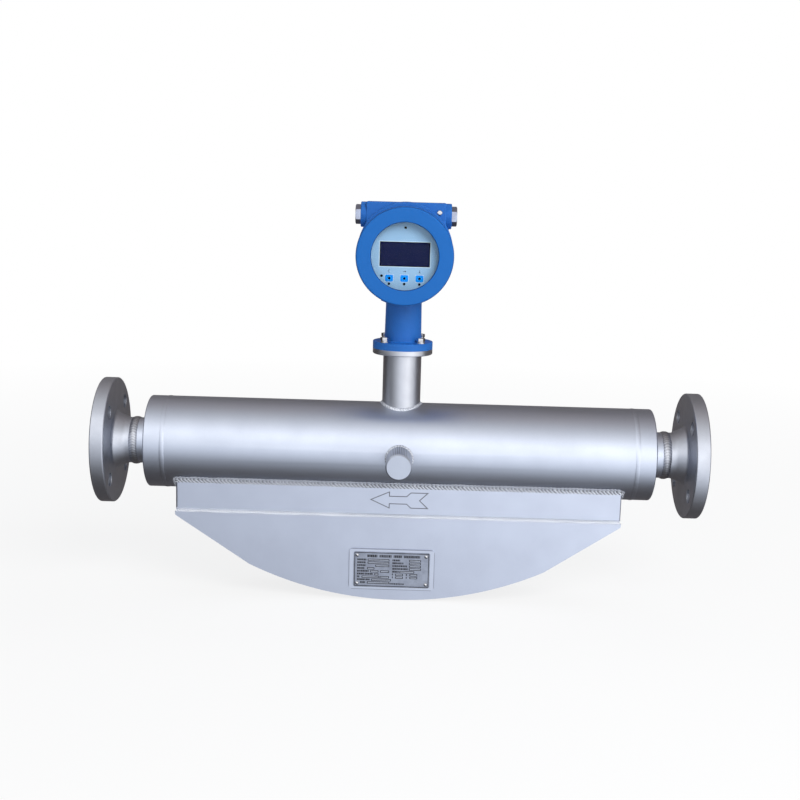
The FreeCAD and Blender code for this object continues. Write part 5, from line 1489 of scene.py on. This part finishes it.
@dataclass
class Nameplate(Assembly):
    """Etched plate with plain generic lines, on its raised pad."""

    centre_x: float = -6.2
    centre_z: float = -153.4
    face_y: float = -49.8
    raise_height: float = 0.04
    row_pitch: float = 3.85
    top_row: float = 12.9
    cell_height: float = 2.9
    line: float = 1.0
    half_size: tuple[float, float] = (48.8, 23.0)
    title_row: tuple[float, float] = (18.3, 3.4)
    titles: tuple[tuple[float, float], ...] = ((-32, -19), (-16, 0), (2.5, 13.5), (16, 37))
    foot_row: tuple[float, float] = (-18.9, 1.8)
    foot_line: tuple[float, float] = (-2, 16.5)
    label_rise: float = 0.2
    label_height: float = 2.5
    dash_length: tuple[float, float] = (0.9, 2.4)
    dash_gap: tuple[float, float] = (0.28, 0.5)
    least_dash: float = 0.4
    labels: tuple[tuple[int, float, float], ...] = (
        (0, -45, -33), (1, -45, -33.5), (2, -45, -34), (3, -45, -35.5), (4, -45, -29.5), (5, -45, -36),
        (5, -35, -24), (6, -45, -42), (7, -45, -28), (8, -41, -34), (0, 1, 11), (1, 1, 15.5), (2, 1, 20),
        (3, 1, 21.5), (4, 1, 9.5), (5, 0.8, 2), (6, 0.8, 2), (5, 19, 20.6), (6, 19, 20.6))
    cells: tuple[tuple[int, float, float], ...] = (
        (0, -31.4, -3), (1, -31.4, -3), (2, -21.3, -3), (3, -32, -22.4), (4, -28, -17), (4, -15, -3),
        (5, -22.4, -17), (6, -39, -16.3), (6, -15.4, -3), (7, -26.6, -0.5), (8, -31.9, -2.4),
        (0, 22.8, 38.4), (1, 22.8, 38.4), (2, 22.8, 38.4), (3, 22.8, 38.4), (4, 10.4, 29.8),
        (5, 4.8, 15.3), (6, 4.8, 15.3), (5, 23.7, 33.9), (6, 23.7, 33.9))

    def build(self) -> None:
        """Make pad, plate, rivets and print."""
        self.softened("nameplate_pad", PAD_STEEL_EDGE_SHADE, Slot.STAINLESS, width=1.6)
        self.softened("nameplate", ETCHED_PLATE, Slot.PLATE, width=0.12)
        self.dress_nodes(BRIGHT_STEEL, "nameplate_rivets")
        marks = self.title() + self.label_marks() + self.cell_marks() + self.border()
        half = self.cell_height / 2
        fills = [self.mark(left, right, self.row(row) - half, self.row(row) + half, share=0.5)
                 for row, left, right in self.cells]
        for name, finish, pieces in (("nameplate_lines", PLATE_INK, marks),
                                     ("nameplate_cells", PLATE_CELL, fills)):
            print_piece = Bench.join(name, pieces)
            Bench.dress(print_piece, finish)
            self.hand_over(print_piece, Slot.PLATE)

    def mark(self, left: float, right: float, low: float, high: float, share: float = 1.0) -> Mesh:
        """One plain raised mark on the plate.

        Args:
            left: Left edge, in millimetres from the plate's centre.
            right: Right edge.
            low: Lower edge.
            high: Upper edge.
            share: Share of the full height over the plate.

        Returns:
            The mark.
        """
        middle = (self.centre_x + (left + right) / 2, self.centre_z + (low + high) / 2)
        return Bench.print_bar(middle, (right - left, high - low), self.face_y, self.raise_height * share)

    def dashes(self, left: float, right: float, middle: float, height: float, seed: int) -> list[Mesh]:
        """A row of plain dashes of uneven length.

        Args:
            left: Left end of the row.
            right: Right end of the row.
            middle: Height of the row on the plate.
            height: Height of a dash.
            seed: Seed of the lengths.

        Returns:
            The dashes.
        """
        rng = random.Random(seed)
        dashes, place = [], left
        while place < right - self.least_dash:
            end = min(right, place + rng.uniform(*self.dash_length))
            dashes.append(self.mark(place, end, middle - height / 2, middle + height / 2))
            place = end + rng.uniform(*self.dash_gap)
        return dashes

    def row(self, index: int) -> float:
        """Height of one row on the plate."""
        return self.top_row - self.row_pitch * index

    def title(self) -> list[Mesh]:
        """Dashes along the top.

        Returns:
            The dashes.
        """
        marks = []
        for number, (left, right) in enumerate(self.titles):
            marks += self.dashes(left, right, *self.title_row, seed=70 + number)
        return marks

    def label_marks(self) -> list[Mesh]:
        """Dashes in front of the cells and along the bottom.

        Returns:
            The dashes.
        """
        marks = []
        for number, (row, left, right) in enumerate(self.labels):
            marks += self.dashes(left, right, self.row(row) + self.label_rise, self.label_height,
                                 seed=90 + number)
        return marks + self.dashes(*self.foot_line, *self.foot_row, seed=60)

    def cell_marks(self) -> list[Mesh]:
        """Outlines of the cells.

        Returns:
            The lines.
        """
        marks = []
        for row, left, right in self.cells:
            middle, half = self.row(row), self.cell_height / 2
            marks += self.frame_marks(left, right, middle - half, middle + half)
        return marks

    def border(self) -> list[Mesh]:
        """Line round the plate."""
        half_x, half_z = self.half_size
        return self.frame_marks(-half_x, half_x, -half_z, half_z)

    def frame_marks(self, left: float, right: float, low: float, high: float) -> list[Mesh]:
        """Four marks round a rectangle.

        Args:
            left: Left edge.
            right: Right edge.
            low: Lower edge.
            high: Upper edge.

        Returns:
            The marks.
        """
        line = self.line
        return [self.mark(left, right, low, low + line), self.mark(left, right, high - line, high),
                self.mark(left, left + line, low + line, high - line),
                self.mark(right - line, right, low + line, high - line)]


@dataclass
class Neck(Assembly):
    """Steel neck with its flange, bolts and washers."""

    def build(self) -> None:
        """Make the neck's pieces."""
        self.dress_nodes(NECK_STEEL, "neck_tube")
        self.softened("neck_flange", NECK_STEEL, Slot.STAINLESS, width=0.4)
        self.softened("neck_bolts", BRIGHT_STEEL, Slot.BRIGHT, width=0.35)
        self.softened("neck_washers", BRIGHT_STEEL, Slot.BRIGHT, width=0.2)
        self.dress_nodes(RUBBER, "neck_oring")
        self.dress_nodes(RESIN, "feedthrough")


@dataclass
class Head(Assembly):
    """Transmitter head: painted castings, glands and small screws."""

    split_z: float = 199.6

    def build(self) -> None:
        """Make the head's pieces."""
        for name in ("head_foot", "head_body"):
            self.softened(name, CASTING_PAINT, Slot.PAINT, width=0.6, segments=3, seam_z=self.split_z)
        self.softened("front_cover", COVER_PAINT_EDGE_SHADE, Slot.PAINT, width=1.0, segments=3, body=Body.FRONT_COVER)
        self.softened("rear_cover", REAR_PAINT_EDGE_SHADE, Slot.PAINT, width=0.5, segments=3, body=Body.REAR_COVER)
        self.softened("gland_nut_left", NICKEL, Slot.NICKEL, width=0.35, body=Body.LEFT_NUT)
        self.softened("gland_nut_right", NICKEL, Slot.NICKEL, width=0.35, body=Body.RIGHT_NUT)
        self.dress_nodes(NICKEL, "gland_washer_left", "gland_washer_right")
        self.dress_nodes(RUBBER, "gland_grommets", "front_cover_oring", "rear_cover_oring", "window_gasket")
        self.dress_nodes(BLACK_OXIDE, "set_screws")
        self.dress_nodes(BRIGHT_STEEL, "earth_screw")
        self.dress_nodes(BLACK_RING, "window_retainer")
        self.dress_nodes(GLASS, "window_glass")


@dataclass
class Display(Assembly):
    """Display panel with its screen, keys and printed marks."""

    face_y: float = -54.5
    raise_height: float = 0.05
    screen_z: float = 258.1
    screen_size: tuple[float, float] = (63.0, 30.8)
    key_z: float = 228.0
    key_size: tuple[float, float] = (10.0, 8.6)
    key_spacing: float = 19.0
    symbol_z: float = 236.9
    screen_line: float = 0.9
    key_line: float = 0.4
    stroke: float = 0.6
    arrow: float = 3.4
    tip: float = 1.1
    barb: float = 1.6
    barb_offset: float = 0.45
    barb_turn: float = 40.0
    curve_radius: float = 1.5
    curve_flatness: float = 0.2
    curve_cut: float = 0.55

    def build(self) -> None:
        """Make panel, screen, keys and marks."""
        self.dress_nodes(PANEL, "display_panel")
        self.dress_nodes(SCREEN, "lcd_module")
        self.dress_nodes(KEY_FILM, "touch_keys")
        self.dress_nodes(DARK_LENS, "optical_sensors")
        self.dress_nodes(BOARD, "display_board", "main_board")
        self.dress_nodes(BRIGHT_STEEL, "board_spacers")
        pale = self.outline(0.0, self.screen_z, self.screen_size, self.screen_line)
        for column in (-1, 0, 1):
            pale += self.outline(column * self.key_spacing, self.key_z, self.key_size, self.key_line)
        self.print_marks("panel_pale_lines", pale, PANEL_LIGHT)
        self.print_marks("panel_symbols", self.symbols(), PANEL_DARK)

    def print_marks(self, name: str, marks: list[Mesh], finish: Finish) -> None:
        """Join marks into one printed piece.

        Args:
            name: Name of the piece.
            marks: The marks.
            finish: Its finish.
        """
        piece = Bench.join(name, marks)
        Bench.dress(piece, finish)
        self.hand_over(piece, Slot.PANEL)

    def bar(self, middle: tuple[float, float], size: tuple[float, float], turn: float = 0.0) -> Mesh:
        """One thin printed bar on the panel.

        Args:
            middle: Its centre (x, z) in millimetres.
            size: Width and height.
            turn: Turn in degrees about Y.

        Returns:
            The bar.
        """
        return Bench.print_bar(middle, size, self.face_y, self.raise_height, turn)

    def outline(self, x: float, z: float, size: tuple[float, float], line: float) -> list[Mesh]:
        """Four bars just outside a rectangle.

        Args:
            x: Centre of the rectangle.
            z: Its height.
            size: Its width and height.
            line: Width of the bars.

        Returns:
            The bars.
        """
        half_x, half_z = size[0] / 2 + line / 2, size[1] / 2 + line / 2
        bars = [self.bar((x, z + end * half_z), (size[0] + 2 * line, line)) for end in (-1, 1)]
        return bars + [self.bar((x + end * half_x, z), (line, size[1])) for end in (-1, 1)]

    def symbols(self) -> list[Mesh]:
        """Plain symbols over the keys: an open curve, an arrow right and an arrow down.

        Returns:
            The curve and the arrows' bars.
        """
        left, right, height = -self.key_spacing, self.key_spacing, self.symbol_z
        bpy.ops.mesh.primitive_torus_add(major_segments=24, minor_segments=6,
                                         major_radius=self.curve_radius * MM,
                                         minor_radius=self.stroke / 2 * MM,
                                         rotation=(math.pi / 2, 0.0, 0.0),
                                         location=Vector((left, self.face_y, height)) * MM + MIDDLE)
        curve = Bench.named("curve")
        Bench.settle(curve)
        curve.scale = (1.0, self.curve_flatness, 1.0)
        curve.location.y = self.face_y * MM * (1.0 - self.curve_flatness)
        Bench.settle(curve)
        self.open_ring(curve, MIDDLE.x + (left + self.curve_cut) * MM)
        marks = [curve, self.bar((0.0, height), (self.arrow, self.stroke))]
        marks += [self.bar((self.tip, height + end * self.barb_offset), (self.barb, self.stroke),
                           end * self.barb_turn) for end in (-1, 1)]
        marks += [self.bar((right, height), (self.stroke, self.arrow))]
        marks += [self.bar((right + end * self.barb_offset, height - self.tip), (self.stroke, self.barb),
                           end * -self.barb_turn) for end in (-1, 1)]
        return marks

    def open_ring(self, ring: Mesh, limit_x: float) -> None:
        """Cut a ring open on its right side.

        Args:
            ring: The ring.
            limit_x: Where it is cut, in metres.
        """
        Bench.edit(ring, lambda: bpy.ops.mesh.bisect(plane_co=(limit_x, 0.0, 0.0), plane_no=(1.0, 0.0, 0.0),
                                                     use_fill=True, clear_outer=True))


@dataclass
class Inside(Assembly):
    """Measuring tubes and electronics behind closed walls."""

    def build(self) -> None:
        """Dress the hidden nodes."""
        self.dress_nodes(BLASTED_STEEL, "measuring_tube_front", "measuring_tube_rear", "brace_plates",
                         "sensor_brackets")
        self.dress_nodes(COPPER, "sensor_coils")
        self.dress_nodes(MAGNET, "sensor_magnets")
        self.dress_nodes(CERAMIC, "temperature_sensor")
        self.dress_nodes(JACKET, "sensor_loom")
        self.dress_nodes(TERMINALS, "terminal_block")
        self.dress_nodes(BRIGHT_STEEL, "terminal_screws")


# Studio


@dataclass(frozen=True)
class Softbox:
    """One rectangular studio light, aimed at the meter."""

    name: str
    azimuth: float
    elevation: float
    distance: float
    size: tuple[float, float]
    power: float

    def build(self, aim: Vector) -> None:
        """Hang the light.

        Args:
            aim: Point that it faces.
        """
        turn, rise = math.radians(self.azimuth), math.radians(self.elevation)
        away = Vector((math.sin(turn) * math.cos(rise), -math.cos(turn) * math.cos(rise), math.sin(rise)))
        bpy.ops.object.light_add(type="AREA", location=aim + away * self.distance)
        lamp = bpy.context.active_object
        lamp.name = self.name
        lamp.rotation_euler = (away * -1).to_track_quat("-Z", "Y").to_euler()
        lamp.data.shape = "RECTANGLE"
        lamp.data.size, lamp.data.size_y = self.size
        lamp.data.energy = self.power
        lamp.visible_glossy = False


@dataclass
class Studio:
    """Floor, lights, a tent that only the reflections see, and the world."""

    aim: Vector = field(default_factory=lambda: Vector((-0.395, 0.0, 0.05)))
    floor_z: float = -0.1955
    boxes: tuple[Softbox, ...] = (
        Softbox("key_light", 28.0, 35.0, 2.5, (1.6, 1.4), 46.0),
        Softbox("back_light", 170.0, 50.0, 2.6, (2.0, 1.0), 7.0),
    )
    tent_radius: float = 2.2
    tent_length: float = 7.0
    tent_peak: float = 2.2
    tent_tilt: float = 14.0
    tent_straight: float = 1.5
    tent_rise: tuple[tuple[float, float], ...] = (
        (-180, 0.16), (-120, 0.10), (-90, 0.08), (-70, 0.10), (-52, 0.22), (-36, 0.48), (-20, 1.03),
        (-8, 1.27), (8, 1.56), (28, 2.02), (44, 1.45), (58, 1.05), (75, 0.73), (98, 0.45), (120, 0.29),
        (142, 0.17), (180, 0.16))
    tent_along: tuple[tuple[float, float], ...] = (
        (-3.5, 0.35), (-1.8, 0.75), (-0.7, 0.88), (0.0, 1.0), (0.7, 1.0), (1.8, 1.1), (3.5, 0.75))
    tent_warmth: Colour = (1.08, 0.98, 0.96)
    tent_warm_below: float = -60
    tent_warm_above: float = 90
    tent_cool: Colour = (0.96, 1.0, 1.07)
    tent_cool_below: float = 4
    floor_near: float = 0.5
    floor_far: float = 2.2
    floor_least_glow: float = 0.82
    world_colour: Colour = (0.92, 0.95, 1.0)
    world_light: float = 0.42

    def build(self) -> None:
        """Set up the whole studio."""
        self.floor()
        for box in self.boxes:
            box.build(self.aim)
        self.tent()
        self.world()

    def floor(self) -> None:
        """Wide pale floor that fades to white and keeps the soft shadow."""
        centre = (-0.395, 0.0, self.floor_z)
        bpy.ops.mesh.primitive_plane_add(size=60.0, location=centre)
        floor = Bench.named("studio_floor")
        Bench.settle(floor)
        material = bpy.data.materials.new("studio_floor")
        material.use_nodes = True
        wiring = Wiring(material.node_tree)
        shader = material.node_tree.nodes["Principled BSDF"]
        shader.inputs["Base Color"].default_value = (0.9, 0.9, 0.9, 1.0)
        shader.inputs["Roughness"].default_value = 0.9
        shader.inputs["Specular IOR Level"].default_value = 0.0
        glow = wiring.node("Emission")
        glow.inputs["Color"].default_value = (1.0, 1.0, 1.0, 1.0)
        offset = wiring.node("VectorMath", operation="DISTANCE")
        wiring.link(wiring.node("TexCoord").outputs["Object"], offset.inputs[0])
        offset.inputs[1].default_value = centre
        fade = wiring.math("DIVIDE", wiring.math("SUBTRACT", offset.outputs["Value"], self.floor_near),
                           self.floor_far - self.floor_near, clamp=True)
        glowing = wiring.math("MULTIPLY_ADD", fade, 1.0 - self.floor_least_glow, self.floor_least_glow)
        share = wiring.math("MULTIPLY", wiring.node("LightPath").outputs["Is Camera Ray"], glowing)
        blend = wiring.node("MixShader")
        wiring.link(share, blend.inputs[0])
        wiring.link(shader.outputs[0], blend.inputs[1])
        wiring.link(glow.outputs[0], blend.inputs[2])
        wiring.link(blend.outputs[0], material.node_tree.nodes["Material Output"].inputs["Surface"])
        floor.data.materials.append(material)
        floor.visible_glossy = False

    def tent_tone(self, angle: float) -> Colour:
        """Tint of the tent's light at one angle over the front horizon.

        Args:
            angle: The angle in degrees, from -180 to 180.

        Returns:
            The warm, the cool or the plain tint.
        """
        if angle < self.tent_warm_below or angle > self.tent_warm_above:
            return self.tent_warmth
        return self.tent_cool if angle < self.tent_cool_below else (1.0, 1.0, 1.0)

    def tent_material(self) -> bpy.types.Material:
        """Light of the tent: it changes with the angle round X, is tilted along X and fades to both ends.

        Returns:
            The material.
        """
        material = bpy.data.materials.new("reflection_tent")
        material.use_nodes = True
        wiring = Wiring(material.node_tree)
        split = wiring.node("SeparateXYZ")
        wiring.link(wiring.node("TexCoord").outputs["Object"], split.inputs[0])
        turn = wiring.math("ARCTAN2", split.outputs["Z"], wiring.math("MULTIPLY", split.outputs["Y"], -1.0))
        shift = wiring.math("MINIMUM", self.tent_straight,
                            wiring.math("SUBTRACT", split.outputs["X"], MIDDLE.x))
        shift = wiring.math("MAXIMUM", -self.tent_straight, shift)
        turn = wiring.math("MULTIPLY_ADD", shift, math.radians(self.tent_tilt), turn)
        stops = []
        for angle, light in self.tent_rise:
            tone = tuple(light / self.tent_peak * part for part in self.tent_tone(angle))
            stops.append(((angle + 180) / 360, tone))
        rise = wiring.ramp(wiring.math("MULTIPLY_ADD", turn, 0.5 / math.pi, 0.5), stops)
        place = wiring.math("MULTIPLY_ADD", split.outputs["X"], 1.0 / self.tent_length,
                            0.5 - MIDDLE.x / self.tent_length)
        along = wiring.ramp(place, [(x / self.tent_length + 0.5, (light,) * 3)
                                    for x, light in self.tent_along])
        glow = wiring.node("Emission")
        wiring.link(rise, glow.inputs["Color"])
        wiring.link(wiring.math("MULTIPLY", along, self.tent_peak), glow.inputs["Strength"])
        wiring.link(glow.outputs[0], material.node_tree.nodes["Material Output"].inputs["Surface"])
        return material

    def tent(self) -> None:
        """Closed tube round the meter that shows in reflections alone."""
        bpy.ops.mesh.primitive_cylinder_add(vertices=96, radius=self.tent_radius, depth=self.tent_length,
                                            rotation=(0.0, math.pi / 2, 0.0), location=MIDDLE)
        tent = Bench.named("reflection_tent")
        Bench.settle(tent)
        tent.data.materials.append(self.tent_material())
        for ray in ("camera", "diffuse", "transmission", "volume_scatter", "shadow"):
            setattr(tent, "visible_" + ray, False)

    def world(self) -> None:
        """White surroundings for the camera, softer grey for the rest."""
        world = bpy.data.worlds.new("studio_world")
        bpy.context.scene.world = world
        world.use_nodes = True
        wiring = Wiring(world.node_tree)
        world.node_tree.nodes.clear()
        rays = wiring.node("LightPath")
        seen = wiring.math("MAXIMUM", rays.outputs["Is Camera Ray"],
                           wiring.math("MAXIMUM", rays.outputs["Is Glossy Ray"],
                                       rays.outputs["Is Transmission Ray"]))
        soft, white = wiring.node("Background"), wiring.node("Background")
        soft.inputs["Color"].default_value = (*self.world_colour, 1.0)
        soft.inputs["Strength"].default_value = self.world_light
        white.inputs["Color"].default_value = (1.0, 1.0, 1.0, 1.0)
        white.inputs["Strength"].default_value = 1.0
        blend = wiring.node("MixShader")
        wiring.link(seen, blend.inputs[0])
        wiring.link(soft.outputs[0], blend.inputs[1])
        wiring.link(white.outputs[0], blend.inputs[2])
        end = wiring.node("OutputWorld")
        wiring.link(blend.outputs[0], end.inputs["Surface"])


@dataclass
class PhotoCamera:
    """Camera at the viewing angle of the photo."""

    lens: float = 56.55
    distance: float = 1.6557
    elevation: float = 9.94
    yaw: float = -0.437
    roll: float = 1.581
    sensor_width: float = 36.0
    target: Vector = field(default_factory=lambda: Vector((-0.39656, 0.0, 0.06385)))

    def build(self) -> None:
        """Place the camera and make it the scene's own."""
        rise, yaw, roll = (math.radians(value) for value in (self.elevation, self.yaw, self.roll))
        view = Vector((math.sin(yaw) * math.cos(rise), math.cos(yaw) * math.cos(rise), -math.sin(rise)))
        right = view.cross(Z_AXIS).normalized()
        up = right.cross(view)
        turned_right = right * math.cos(roll) + up * math.sin(roll)
        turned_up = up * math.cos(roll) - right * math.sin(roll)
        bpy.ops.object.camera_add()
        camera = bpy.context.active_object
        camera.name = "photo_camera"
        camera.data.lens = self.lens
        camera.data.sensor_width = self.sensor_width
        matrix = Matrix((turned_right, turned_up, view * -1)).transposed().to_4x4()
        matrix.translation = self.target - view * self.distance
        camera.matrix_world = matrix
        bpy.context.scene.camera = camera


def main() -> None:
    """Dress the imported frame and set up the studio."""
    logging.basicConfig(level=logging.INFO, format="%(name)s: %(message)s")
    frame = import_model()
    for assembly in (PipeLine, Housing, Casing, Nameplate, Neck, Head, Display, Inside):
        assembly(frame).build()
        log.info("finished %s", assembly.__name__)
    Studio().build()
    PhotoCamera().build()
    bpy.context.scene.view_settings.view_transform = "Standard"


if __name__ == "__main__":
    main()
